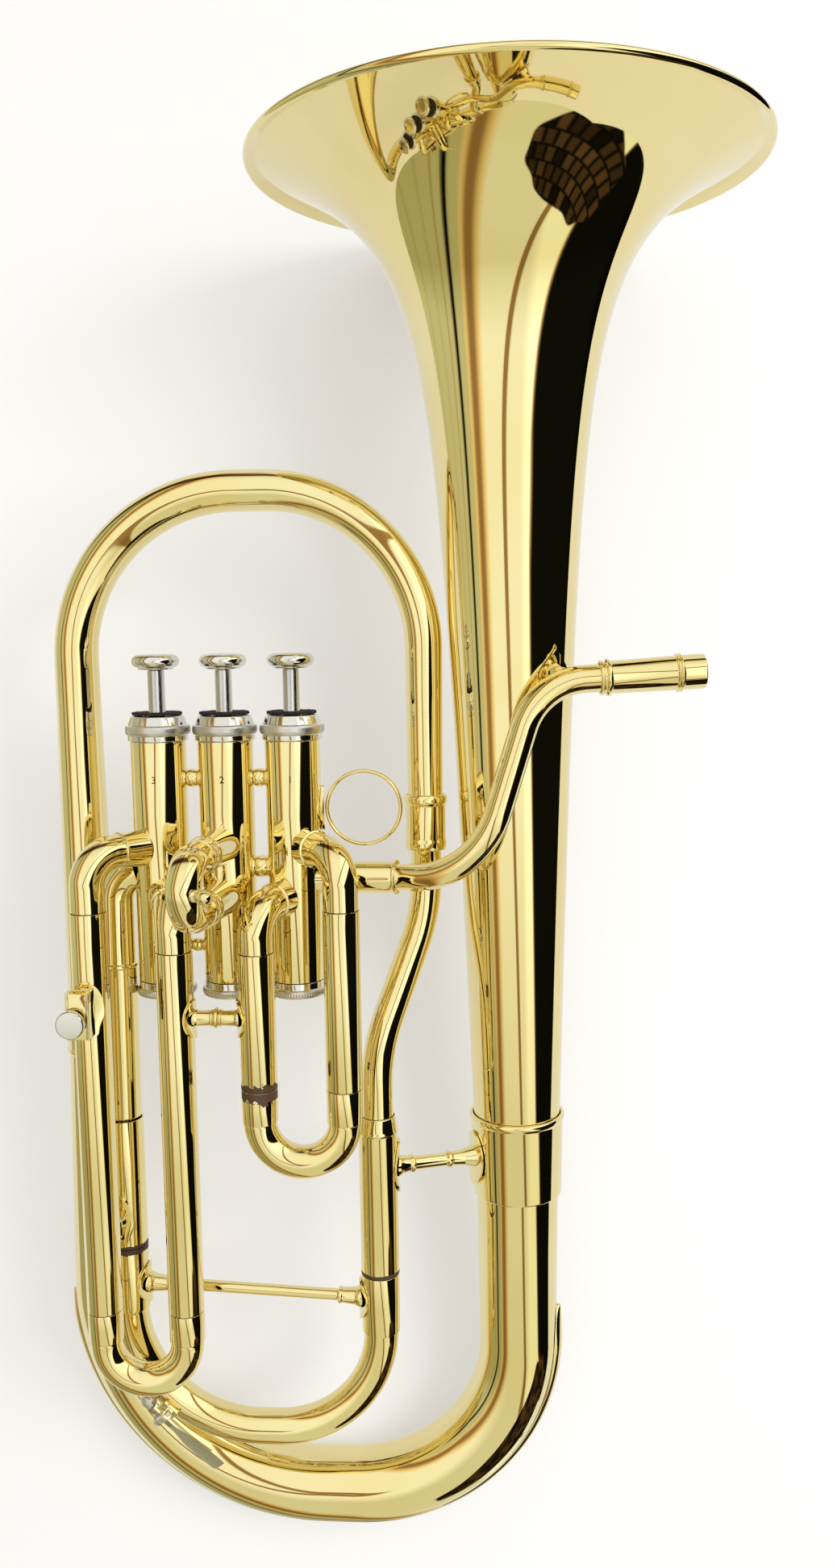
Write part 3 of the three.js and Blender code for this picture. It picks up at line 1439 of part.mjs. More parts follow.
// A brace rod with turned rings and an oval flange hugging the tube at each end
function makeBrace({ from, to, radius, endRadius, rings, ringRadius, flange }) {
  const run = to.centre.clone().sub(from.centre).normalize();
  const start = from.centre.clone().addScaledVector(run, from.radius + seatGap + flangeThickness / 2);
  const end = to.centre.clone().addScaledVector(run, -to.radius - seatGap - flangeThickness / 2);
  const length = end.distanceTo(start);
  const outline = [[0, 0], [endRadius, 0]];
  for (const share of rings) {
    const middle = share * length;
    outline.push(
      [radius, middle - braceRingWidth / 2],
      [ringRadius, middle - braceRingWidth / 4],
      [ringRadius, middle + braceRingWidth / 4],
      [radius, middle + braceRingWidth / 2],
    );
  }
  outline.push([endRadius, length], [0, length]);
  const rod = aimed(turned(outline, smallSides), start, run);
  const outward = run.clone().setY(0).normalize();
  return joined(rod, hugFlange(from, outward, flange), hugFlange(to, outward.clone().negate(), flange));
}

function makeBraces(horn) {
  const ferruleRadius = radiusAt(bellOutside, bellFerruleTop) + seatGap + bellFerruleWall;
  const ferruleSide = Math.tan(bellLean) * bellBraceRightDrop;
  addPart(horn, "bell_brace", makeBrace({
    from: { centre: at(mainRightSide, bellBraceLeftDrop, mainFront), radius: mainSleeveRadius },
    to: { centre: at(ferruleSide, bellBraceRightDrop), radius: ferruleRadius, sides: bellSides },
    radius: bellBraceRadius,
    endRadius: bellBraceEndRadius,
    rings: bellBraceRings,
    ringRadius: bellBraceRingRadius,
    flange: { length: bellBraceFlangeLength, width: bellBraceFlangeWidth },
  }), "lacquer");
  addPart(horn, "slide_brace", makeBrace({
    from: { centre: at(thirdRightSide, slideBraceDrop, slideFront), radius: slideSleeveRadius },
    to: { centre: at(firstLeftSide, slideBraceDrop, slideFront), radius: slideSleeveRadius },
    radius: slideBraceRadius,
    endRadius: slideBraceRadius,
    rings: slideBraceRings,
    ringRadius: slideBraceRingRadius,
    flange: { length: slideBraceFlangeLength, width: slideBraceFlangeWidth },
  }), "lacquer");
  addPart(horn, "sleeve_post", makeBrace({
    from: { centre: at(mainLeftSide, postBraceDrop, mainFront), radius: mainSleeveRadius },
    to: { centre: at(thirdLeftSide, postBraceDrop, slideFront), radius: slideSleeveRadius },
    radius: postBraceRadius,
    endRadius: postBraceRadius,
    rings: [],
    ringRadius: postBraceRadius,
    flange: { length: postBraceFlangeLength, width: postBraceFlangeWidth },
  }), "lacquer");
}

function makeLyreBox(horn) {
  const plate = hugFlange(
    { centre: at(thirdLeftSide, lyreDrop, slideFront), radius: slideSleeveRadius },
    outOfHorn,
    { length: lyrePlateLength, width: lyrePlateWidth, thickness: lyrePlateThickness },
  );
  const boxBack = slideFront + slideSleeveRadius + seatGap + lyrePlateThickness / 2;
  const middle = boxBack + lyreDepth / 2;
  const box = new THREE.BoxGeometry(lyreWidth, lyreHeight, lyreDepth).translate(lyreSide, -lyreDrop, middle);
  const socket = new THREE.BoxGeometry(lyreSocketWidth, lyreHeight + cutOverrun, lyreSocketDepth)
    .translate(lyreSide, -lyreDrop, middle);
  const boxFront = boxBack + lyreDepth;
  const hole = rodBetween(
    at(lyreScrewSide, lyreScrewDrop, middle),
    at(lyreScrewSide, lyreScrewDrop, boxFront + cutOverrun),
    lyreScrewShankRadius + seatGap,
  );
  addPart(horn, "lyre_box", cutBy(joined(plate, box), socket, hole), "lacquer");
  const tip = middle + lyreSocketDepth / 2 - seatGap;
  const head = boxFront + lyreScrewOut;
  const screw = aimed(turned([
    [0, 0],
    [lyreScrewShankRadius, 0],
    [lyreScrewShankRadius, head - tip],
    [lyreScrewRadius, head - tip],
    [lyreScrewRadius, head - tip + lyreScrewHeadThickness],
    [0, head - tip + lyreScrewHeadThickness],
  ], tubeSides), at(lyreScrewSide, lyreScrewDrop, tip), outOfHorn);
  addPart(horn, "lyre_screw", screw, "nickel");
}

function makeHorn() {
  const horn = new THREE.Group();
  makeBell(horn);
  makeBottomBow(horn);
  makeTopBow(horn);
  makeReturnPipe(horn);
  makeMainSlide(horn);
  makeMainBrace(horn);
  makeWaterKey(horn);
  makeValves(horn);
  makeLongSlide(horn, 1, {
    upper: { side: firstRightSide, port: firstUpperPort, ring: firstUpperRing },
    lower: { side: firstLeftSide, port: firstLowerPort, ring: firstLowerRing },
    sleeveEnd: firstSleeveEnd,
    ferruleEnd: firstFerruleEnd,
    crookDrop: firstCrookDrop,
    crookBend: firstCrookBend,
  });
  makeSecondSlide(horn);
  makeLongSlide(horn, 3, {
    upper: { side: thirdLeftSide, port: thirdUpperPort, ring: thirdUpperRing },
    lower: { side: thirdRightSide, port: thirdLowerPort, ring: thirdLowerRing },
    sleeveEnd: thirdSleeveEnd,
    ferruleEnd: thirdFerruleEnd,
    crookDrop: thirdCrookDrop,
    crookBend: thirdCrookBend,
  });
  makeLeadpipe(horn);
  makeFingerRing(horn);
  makeBraces(horn);
  makeLyreBox(horn);
  return horn;
}

function lowestPoint(mesh, turn) {
  const position = mesh.geometry.getAttribute("position");
  const point = new THREE.Vector3();
  let lowest = Infinity;
  for (let i = 0; i < position.count; i += 1) {
    point.fromBufferAttribute(position, i).add(mesh.position).applyQuaternion(turn);
    lowest = Math.min(lowest, point.z);
  }
  return lowest;
}

// Tilts the rolled horn until its rim and its bottom bow are equally low
function restingTurn(horn) {
  const rim = horn.children.find((mesh) => mesh.name === "bell");
  const bows = horn.children.filter((mesh) => ["bottom_bow", "bow_guard"].includes(mesh.name));
  const turnAt = (tilt) => new THREE.Quaternion().setFromEuler(new THREE.Euler(tilt, -restRoll, 0, "XYZ"));
  let [low, high] = [tiltSearchLow, tiltSearchHigh];
  for (let step = 0; step < tiltSearchSteps; step += 1) {
    const tilt = (low + high) / 2;
    const turn = turnAt(tilt);
    const bowLow = Math.min(...bows.map((mesh) => lowestPoint(mesh, turn)));
    if (lowestPoint(rim, turn) < bowLow) low = tilt;
    else high = tilt;
  }
  return turnAt((low + high) / 2);
}

const horn = makeHorn();
horn.quaternion.copy(restingTurn(horn));
const part = new THREE.Group();
part.add(horn);
part.updateMatrixWorld(true);
const bounds = new THREE.Box3().setFromObject(part, true);
horn.position.set(-(bounds.min.x + bounds.max.x) / 2, -(bounds.min.y + bounds.max.y) / 2, -bounds.min.z);

export default part;
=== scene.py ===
"""Alto horn in E flat, lying on its back on a pale studio floor.

Every piece is drawn in the horn's own axes in millimetres, with x to its right as seen from the
valve side, y up the bell and z out of the valve side. A place along the horn is a drop below the
bell rim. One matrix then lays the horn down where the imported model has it.
"""
import json
import logging
import math
from dataclasses import dataclass, field
from enum import Enum
from typing import Callable, Sequence

import bmesh
import bpy
from mathutils import Matrix, Quaternion, Vector, noise


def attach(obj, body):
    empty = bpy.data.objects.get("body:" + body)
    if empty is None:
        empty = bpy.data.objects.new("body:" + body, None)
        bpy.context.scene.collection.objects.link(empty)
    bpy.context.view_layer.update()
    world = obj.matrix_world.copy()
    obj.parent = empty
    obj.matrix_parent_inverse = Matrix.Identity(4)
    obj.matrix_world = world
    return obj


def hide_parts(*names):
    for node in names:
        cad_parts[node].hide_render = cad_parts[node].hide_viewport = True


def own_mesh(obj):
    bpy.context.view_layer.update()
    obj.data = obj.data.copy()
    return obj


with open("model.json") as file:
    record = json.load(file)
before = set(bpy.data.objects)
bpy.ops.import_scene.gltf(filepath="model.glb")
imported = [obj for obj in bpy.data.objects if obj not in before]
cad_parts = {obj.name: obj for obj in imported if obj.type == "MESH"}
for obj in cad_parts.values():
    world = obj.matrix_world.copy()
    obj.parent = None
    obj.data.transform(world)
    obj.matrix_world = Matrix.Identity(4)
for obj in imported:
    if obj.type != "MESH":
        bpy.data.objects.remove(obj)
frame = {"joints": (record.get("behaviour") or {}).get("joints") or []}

LOG = logging.getLogger("alto_horn")
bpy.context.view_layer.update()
MM = 0.001
SEAT_GAP = 0.3
UP = Vector((0, 1, 0))
FRONT = Vector((0, 0, 1))
RIGHT = Vector((1, 0, 0))
LEFT = Vector((-1, 0, 0))

Profile = list[tuple[float, float]]


class Body(str, Enum):
    """The rigid bodies that pieces ride on."""

    HORN = "horn"
    VALVE_1 = "valve_1"
    VALVE_2 = "valve_2"
    VALVE_3 = "valve_3"
    FIRST_SLIDE = "first_slide"
    SECOND_SLIDE = "second_slide"
    THIRD_SLIDE = "third_slide"
    TUNING_SLIDE = "tuning_slide"
    WATER_KEY = "water_key"
    LYRE_CLAMP = "lyre_clamp"


def at(side: float, drop: float, front: float = 0.0) -> Vector:
    """Returns a place given by side, drop below the rim and front."""
    return Vector((side, -drop, front))


def horn_matrix() -> Matrix:
    """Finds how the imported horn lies, from the lyre screw's and a valve's joints.

    Returns:
        The matrix from the horn's axes in millimetres to the part's frame in metres.
    """
    joints = {joint["name"]: joint for joint in frame["joints"]}
    up = -Vector(joints["valve_1_press"]["axis"]).normalized()
    front = Vector(joints["lyre_clamp_turn"]["axis"]).normalized()
    right = up.cross(front).normalized()
    turn = Matrix((right, up, right.cross(up))).transposed()
    known = Vector(joints["lyre_clamp_turn"]["pos_m"])
    place = known - turn @ (Vector((-166.0, -327.0, 60.0)) * MM)
    return Matrix.Translation(place) @ turn.to_4x4() @ Matrix.Scale(MM, 4)


HORN = horn_matrix()


# Node groups and finishes

Colour = tuple[float, float, float]
Socket = bpy.types.NodeSocket


def feed(tree: bpy.types.NodeTree, socket: Socket, value: "float | Colour | Socket") -> None:
    """Links a socket to an output, or sets it to a number or a colour."""
    if isinstance(value, Socket):
        tree.links.new(value, socket)
    elif isinstance(value, tuple):
        socket.default_value = (*value, 1.0)
    else:
        socket.default_value = value


def maths(tree: bpy.types.NodeTree, operation: str, *values: "float | Socket") -> Socket:
    """Adds a math node.

    Args:
        tree: The tree that it goes into.
        operation: What the node does.
        values: A number or an output for each of its inputs in turn.

    Returns:
        Its output.
    """
    node = tree.nodes.new("ShaderNodeMath")
    node.operation = operation
    for socket, value in zip(node.inputs, values):
        feed(tree, socket, value)
    return node.outputs[0]


def mixed(
    tree: bpy.types.NodeTree, share: "float | Socket", first: "Colour | Socket", second: "Colour | Socket",
    blend: str = "MIX",
) -> Socket:
    """Adds a mix of two colours.

    Args:
        tree: The tree that it goes into.
        share: The second colour's share.
        first: The first colour.
        second: The second colour.
        blend: How the two are blended.

    Returns:
        The mixed colour.
    """
    node = tree.nodes.new("ShaderNodeMix")
    node.data_type = "RGBA"
    node.blend_type = blend
    for name, value in (("Factor", share), ("A", first), ("B", second)):
        feed(tree, node.inputs[name], value)
    return node.outputs["Result"]


def mixed_shaders(tree: bpy.types.NodeTree, share: Socket, first: Socket, second: Socket) -> Socket:
    """Adds a mix of two shaders and returns its output."""
    node = tree.nodes.new("ShaderNodeMixShader")
    for socket, value in zip(node.inputs, (share, first, second)):
        feed(tree, socket, value)
    return node.outputs[0]


def noisy(
    tree: bpy.types.NodeTree, place: Socket, scale: "float | Socket", detail: float = 2.0,
    distortion: float = 0.0
) -> Socket:
    """Adds a noise texture.

    Args:
        tree: The tree that it goes into.
        place: Its coordinates.
        scale: How fine it is.
        detail: How many octaves it has.
        distortion: How far it is warped.

    Returns:
        The noise, from 0 to 1.
    """
    node = tree.nodes.new("ShaderNodeTexNoise")
    for name, value in (("Vector", place), ("Scale", scale), ("Detail", detail), ("Distortion", distortion)):
        feed(tree, node.inputs[name], value)
    return node.outputs["Fac"]


def ranged(
    tree: bpy.types.NodeTree, value: Socket, low: float = 0.0, high: float = 1.0,
    span: tuple[float, float] = (0.3, 0.7),
) -> Socket:
    """Maps a span of values to another, and holds what lies outside at its ends.

    Args:
        tree: The tree that the node goes into.
        value: The value.
        low: The result at the span's start.
        high: The result at its end.
        span: The span, which by default is the middle of a noise texture.

    Returns:
        The mapped value.
    """
    node = tree.nodes.new("ShaderNodeMapRange")
    for name, number in (("From Min", span[0]), ("From Max", span[1]), ("To Min", low), ("To Max", high)):
        node.inputs[name].default_value = number
    tree.links.new(value, node.inputs["Value"])
    return node.outputs["Result"]


class Groups:
    """Shader node groups that several finishes share, built once."""

    _built: dict[str, bpy.types.NodeTree] = {}

    @classmethod
    def _start(
        cls, name: str, inputs: Sequence[tuple[str, str, float]], outputs: Sequence[tuple[str, str]]
    ) -> tuple[bpy.types.NodeTree, bpy.types.Node, bpy.types.Node]:
        """Makes an empty group with its sockets.

        Args:
            name: The group's name.
            inputs: Name, socket type and starting value of each input.
            outputs: Name and socket type of each output.

        Returns:
            The group, its input node and its output node.
        """
        tree = bpy.data.node_groups.new(name, "ShaderNodeTree")
        for label, kind, value in inputs:
            socket = tree.interface.new_socket(label, in_out="INPUT", socket_type=kind)
            if kind == "NodeSocketFloat":
                socket.default_value = value
        for label, kind in outputs:
            tree.interface.new_socket(label, in_out="OUTPUT", socket_type=kind)
        cls._built[name] = tree
        return tree, tree.nodes.new("NodeGroupInput"), tree.nodes.new("NodeGroupOutput")

    @classmethod
    def polish(cls) -> bpy.types.NodeTree:
        """Buffed metal: slow tone changes, a haze of fine marks and a faint ripple of the sheet.

        Returns:
            The node group, with outputs Tone, Haze and Normal.
        """
        if "polish" in cls._built:
            return cls._built["polish"]
        tree, source, result = cls._start(
            "polish",
            [
                ("Vector", "NodeSocketVector", 0.0),
                ("Patch Scale", "NodeSocketFloat", 22.0),
                ("Mark Scale", "NodeSocketFloat", 900.0),
                ("Ripple Scale", "NodeSocketFloat", 60.0),
                ("Ripple", "NodeSocketFloat", 0.00002),
            ],
            [("Tone", "NodeSocketFloat"), ("Haze", "NodeSocketFloat"), ("Normal", "NodeSocketVector")],
        )
        place, given = source.outputs["Vector"], source.outputs
        bump = tree.nodes.new("ShaderNodeBump")
        bump.inputs["Strength"].default_value = 1.0
        feed(tree, bump.inputs["Distance"], given["Ripple"])
        feed(tree, bump.inputs["Height"], noisy(tree, place, given["Ripple Scale"], detail=1.0))
        feed(tree, result.inputs["Tone"], noisy(tree, place, given["Patch Scale"], detail=3.0))
        marks = noisy(tree, place, given["Mark Scale"], detail=4.0, distortion=0.6)
        feed(tree, result.inputs["Haze"], marks)
        feed(tree, result.inputs["Normal"], bump.outputs["Normal"])
        return tree

    @classmethod
    def ragged_band(cls) -> bpy.types.NodeTree:
        """A ring with ragged edges round a tube, such as old grease at a slide joint.

        Returns:
            The node group, with the output Mask.
        """
        if "ragged_band" in cls._built:
            return cls._built["ragged_band"]
        tree, source, result = cls._start(
            "ragged_band",
            [
                ("Vector", "NodeSocketVector", 0.0),
                ("Axis", "NodeSocketVector", 0.0),
                ("Middle", "NodeSocketFloat", 0.0),
                ("Half Width", "NodeSocketFloat", 0.002),
                ("Raggedness", "NodeSocketFloat", 0.003),
                ("Tear Scale", "NodeSocketFloat", 330.0),
            ],
            [("Mask", "NodeSocketFloat")],
        )
        given = source.outputs
        along = tree.nodes.new("ShaderNodeVectorMath")
        along.operation = "DOT_PRODUCT"
        feed(tree, along.inputs[0], given["Vector"])
        feed(tree, along.inputs[1], given["Axis"])
        tear = maths(tree, "SUBTRACT", noisy(tree, given["Vector"], given["Tear Scale"], detail=3.0), 0.5)
        shift = maths(tree, "MULTIPLY", tear, given["Raggedness"])
        offset = maths(tree, "SUBTRACT", along.outputs["Value"], given["Middle"])
        away = maths(tree, "ABSOLUTE", maths(tree, "ADD", offset, shift))
        feed(tree, result.inputs["Mask"], maths(tree, "LESS_THAN", away, given["Half Width"]))
        return tree


def start_material(name: str) -> tuple[bpy.types.Material, bpy.types.Node, Socket]:
    """Makes a material with a Principled shader and Object coordinates.

    Args:
        name: The material's name.

    Returns:
        The material, its shader and its coordinates.
    """
    material = bpy.data.materials.new(name)
    material.use_nodes = True
    shader = material.node_tree.nodes["Principled BSDF"]
    place = material.node_tree.nodes.new("ShaderNodeTexCoord")
    return material, shader, place.outputs["Object"]


@dataclass(frozen=True)
class Metal:
    """A polished metal, bare, plated or under clear lacquer."""

    name: str
    colour: Colour
    deep: Colour
    smooth: float
    dull: float
    ripple: float
    coat: float = 0.0
    coat_roughness: float = 0.04

    def build(self) -> bpy.types.Material:
        """Returns the finished material."""
        material, shader, place = start_material(self.name)
        tree = material.node_tree
        polish = tree.nodes.new("ShaderNodeGroup")
        polish.node_tree = Groups.polish()
        polish.inputs["Ripple"].default_value = self.ripple
        feed(tree, polish.inputs["Vector"], place)
        tone = ranged(tree, polish.outputs["Tone"])
        feed(tree, shader.inputs["Base Color"], mixed(tree, tone, self.deep, self.colour))
        haze = ranged(tree, polish.outputs["Haze"], self.smooth, self.dull)
        feed(tree, shader.inputs["Roughness"], haze)
        feed(tree, shader.inputs["Normal"], polish.outputs["Normal"])
        shader.inputs["Metallic"].default_value = 1.0
        shader.inputs["Coat Weight"].default_value = self.coat
        shader.inputs["Coat Roughness"].default_value = self.coat_roughness
        return material


@dataclass(frozen=True)
class GreasedMetal(Metal):
    """The same metal with a band of old dark grease round it at one drop."""

    drop: float = 0.0
    half_width: float = 2.0
    raggedness: float = 4.0
    grease: Colour = (0.075, 0.036, 0.022)
    grease_roughness: float = 0.55

    def build(self) -> bpy.types.Material:
        """Returns the finished material."""
        material = super().build()
        tree = material.node_tree
        shader = tree.nodes["Principled BSDF"]
        place = next(node for node in tree.nodes if node.type == "TEX_COORD")
        axis = (HORN.to_3x3() @ UP).normalized()
        band = tree.nodes.new("ShaderNodeGroup")
        band.node_tree = Groups.ragged_band()
        band.inputs["Axis"].default_value = axis
        band.inputs["Middle"].default_value = (HORN @ at(0, self.drop)).dot(axis)
        band.inputs["Half Width"].default_value = self.half_width * MM
        band.inputs["Raggedness"].default_value = self.raggedness * MM
        feed(tree, band.inputs["Vector"], place.outputs["Object"])
        mask = band.outputs["Mask"]
        clean = shader.inputs["Base Color"].links[0].from_socket
        feed(tree, shader.inputs["Base Color"], mixed(tree, mask, clean, self.grease))
        rough = tree.nodes.new("ShaderNodeMix")
        rough.inputs["B"].default_value = self.grease_roughness
        feed(tree, rough.inputs["Factor"], mask)
        feed(tree, rough.inputs["A"], shader.inputs["Roughness"].links[0].from_socket)
        feed(tree, shader.inputs["Roughness"], rough.outputs["Result"])
        feed(tree, shader.inputs["Metallic"], maths(tree, "SUBTRACT", 1.0, mask))
        shader.inputs["Coat Weight"].default_value = 0.0
        return material


@dataclass(frozen=True)
class Soft:
    """A matte material of fibres or grains: felt or cork."""

    name: str
    colour: Colour
    fleck: Colour
    grain: float
    relief: float
    detail: float = 6.0
    roughness: tuple[float, float] = (0.8, 0.97)

    def build(self) -> bpy.types.Material:
        """Returns the finished material."""
        material, shader, place = start_material(self.name)
        tree = material.node_tree
        grains = noisy(tree, place, self.grain, self.detail)
        feed(tree, shader.inputs["Base Color"], mixed(tree, ranged(tree, grains), self.colour, self.fleck))
        bump = tree.nodes.new("ShaderNodeBump")
        bump.inputs["Distance"].default_value = self.relief
        feed(tree, bump.inputs["Height"], grains)
        feed(tree, shader.inputs["Normal"], bump.outputs["Normal"])
        feed(tree, shader.inputs["Roughness"], ranged(tree, grains, *self.roughness))
        return material


BRASS = (0.900, 0.775, 0.395)
DEEP_BRASS = (0.870, 0.720, 0.320)
TUBE_POLISH = (0.015, 0.05, 0.000006)
BELL_POLISH = (0.012, 0.04, 0.000004)
LACQUER = Metal("lacquered_brass", BRASS, DEEP_BRASS, *TUBE_POLISH, coat=0.3)
BELL_LACQUER = Metal("lacquered_bell_brass", BRASS, DEEP_BRASS, *BELL_POLISH, coat=0.3)
GREASED_FIRST = GreasedMetal(
    "lacquered_brass_greased_first", BRASS, DEEP_BRASS, *TUBE_POLISH, drop=358.3, half_width=3.2,
    raggedness=7.0
)
GREASED_MAIN = GreasedMetal(
    "lacquered_brass_greased_main", BRASS, DEEP_BRASS, *TUBE_POLISH, drop=433.5, half_width=1.9,
    raggedness=2.4
)
GREASED_RIGHT = GreasedMetal(
    "lacquered_brass_greased_right", BRASS, DEEP_BRASS, *TUBE_POLISH, drop=444.2, half_width=1.3,
    raggedness=1.2,
    grease=(0.060, 0.040, 0.018),
)
NICKEL = Metal("nickel_plate", (0.80, 0.765, 0.69), (0.70, 0.665, 0.59), 0.05, 0.13, 0.00001)
SATIN_NICKEL = Metal("satin_nickel", (0.80, 0.77, 0.71), (0.64, 0.61, 0.55), 0.3, 0.45, 0.00003)
PISTON = Metal("honed_piston", (0.64, 0.63, 0.60), (0.56, 0.55, 0.52), 0.12, 0.25, 0.000004)
WIRE = Metal("spring_wire", (0.52, 0.52, 0.52), (0.40, 0.40, 0.40), 0.2, 0.35, 0.000002)
STAMP = Metal("stamped_brass", (0.13, 0.07, 0.02), (0.08, 0.04, 0.01), 0.4, 0.6, 0.000002)
FELT = Soft("black_felt", (0.008, 0.006, 0.005), (0.035, 0.022, 0.018), 1800.0, 0.0003)
CORK = Soft("natural_cork", (0.47, 0.27, 0.12), (0.25, 0.13, 0.05), 900.0, 0.0002)
_MATERIALS: dict[str, bpy.types.Material] = {}


def material_of(finish: Metal | Soft) -> bpy.types.Material:
    """Returns a finish's material, built at its first use."""
    if finish.name not in _MATERIALS:
        _MATERIALS[finish.name] = finish.build()
    return _MATERIALS[finish.name]


# Shapes


class Route:
    """Straight runs joined by round bends."""

    def __init__(self, corners: Sequence[tuple[Vector, float]]) -> None:
        """Lays the route.

        Args:
            corners: The first point, each corner with the radius of its bend, and the last point.
        """
        self.pieces: list[tuple[float, float, float, Callable[[float], tuple[Vector, Vector]]]] = []
        self.length = 0.0
        last = corners[0][0]
        for index in range(1, len(corners) - 1):
            point, bend = corners[index]
            into = (point - corners[index - 1][0]).normalized()
            out = (corners[index + 1][0] - point).normalized()
            angle = into.angle(out)
            trim = bend * math.tan(angle / 2)
            start = point - into * trim
            axis = into.cross(out).normalized()
            self._add_run(last, start)
            self._add_bend(start, axis, into, bend, angle)
            last = point + out * trim
        self._add_run(last, corners[-1][0])

    def _add_run(self, start: Vector, end: Vector) -> None:
        """Adds a straight run between two points."""
        tangent = (end - start).normalized()
        length = (end - start).length
        self.pieces.append((self.length, length, 0.0, lambda along: (start + tangent * along, tangent)))
        self.length += length

    def _add_bend(self, start: Vector, axis: Vector, into: Vector, bend: float, angle: float) -> None:
        """Adds a round bend that leaves a point in a direction."""
        centre = start + axis.cross(into) * bend
        arm = start - centre

        def place(along: float) -> tuple[Vector, Vector]:
            """Returns the point and the tangent at a distance into the bend."""
            turn = Quaternion(axis, along / bend)
            return centre + turn @ arm, turn @ into

        self.pieces.append((self.length, bend * angle, angle, place))
        self.length += bend * angle

    def place(self, distance: float) -> tuple[Vector, Vector]:
        """Returns the point and the tangent at a distance along the route."""
        found = self.pieces[0]
        for piece in self.pieces:
            if distance >= piece[0] - 1e-6:
                found = piece
        return found[3](distance - found[0])

    def stops(self, turn: float) -> list[float]:
        """Returns distances that follow the bends in steps of at most a turn in radians."""
        marks: list[float] = []
        for start, length, angle, _ in self.pieces:
            steps = max(1, math.ceil(angle / turn))
            marks += [start + length * step / steps for step in range(steps)]
        return marks + [self.length]

    def frames(self, distances: Sequence[float], facing: Vector) -> list[Matrix]:
        """Finds cross frames that follow the route without twisting.

        Args:
            distances: Where along the route, in rising order.
            facing: The direction that the first frame's x axis faces.

        Returns:
            One matrix for each distance, with its z axis along the route.
        """
        marks = sorted(set(self.stops(math.radians(4))) | set(distances))
        found: dict[float, Matrix] = {}
        normal: Vector | None = None
        before = Vector()
        for mark in marks:
            point, tangent = self.place(mark)
            if normal is None:
                normal = (facing - tangent * facing.dot(tangent)).normalized()
            else:
                normal = (before.rotation_difference(tangent) @ normal).normalized()
            before = tangent
            side = tangent.cross(normal)
            found[mark] = Matrix((normal, side, tangent)).transposed().to_4x4()
            found[mark].translation = point
        return [found[distance] for distance in distances]


def value_at(profile: Profile, distance: float) -> float:
    """Returns the radius of a [distance, radius] profile at a distance."""
    if distance <= profile[0][0]:
        return profile[0][1]
    for (start, first), (end, second) in zip(profile, profile[1:]):
        if start <= distance < end:
            return first + (second - first) * (distance - start) / (end - start)
    return profile[-1][1]


def softened(points: Profile, radius: float, closed: bool, steps: int = 3) -> Profile:
    """Rounds the corners of an outline.

    Args:
        points: The outline's corners.
        radius: How far from a corner the rounding starts.
        closed: True if the last corner joins the first.
        steps: Points in each rounding, less one.

    Returns:
        The outline with its corners rounded.
    """
    count = len(points)
    result: Profile = []
    for index, here in enumerate(points):
        if not closed and index in (0, count - 1):
            result.append(here)
            continue
        corner = Vector(here)
        before = Vector(points[index - 1]) - corner
        after = Vector(points[(index + 1) % count]) - corner
        if before.length < 1e-6 or after.length < 1e-6 or before.angle(after) > math.radians(174):
            result.append(here)
            continue
        reach = min(radius, before.length * 0.45, after.length * 0.45)
        start, end = corner + before.normalized() * reach, corner + after.normalized() * reach
        for step in range(steps + 1):
            share = step / steps
            point = start.lerp(corner, share).lerp(corner.lerp(end, share), share)
            result.append((point.x, point.y))
    return result


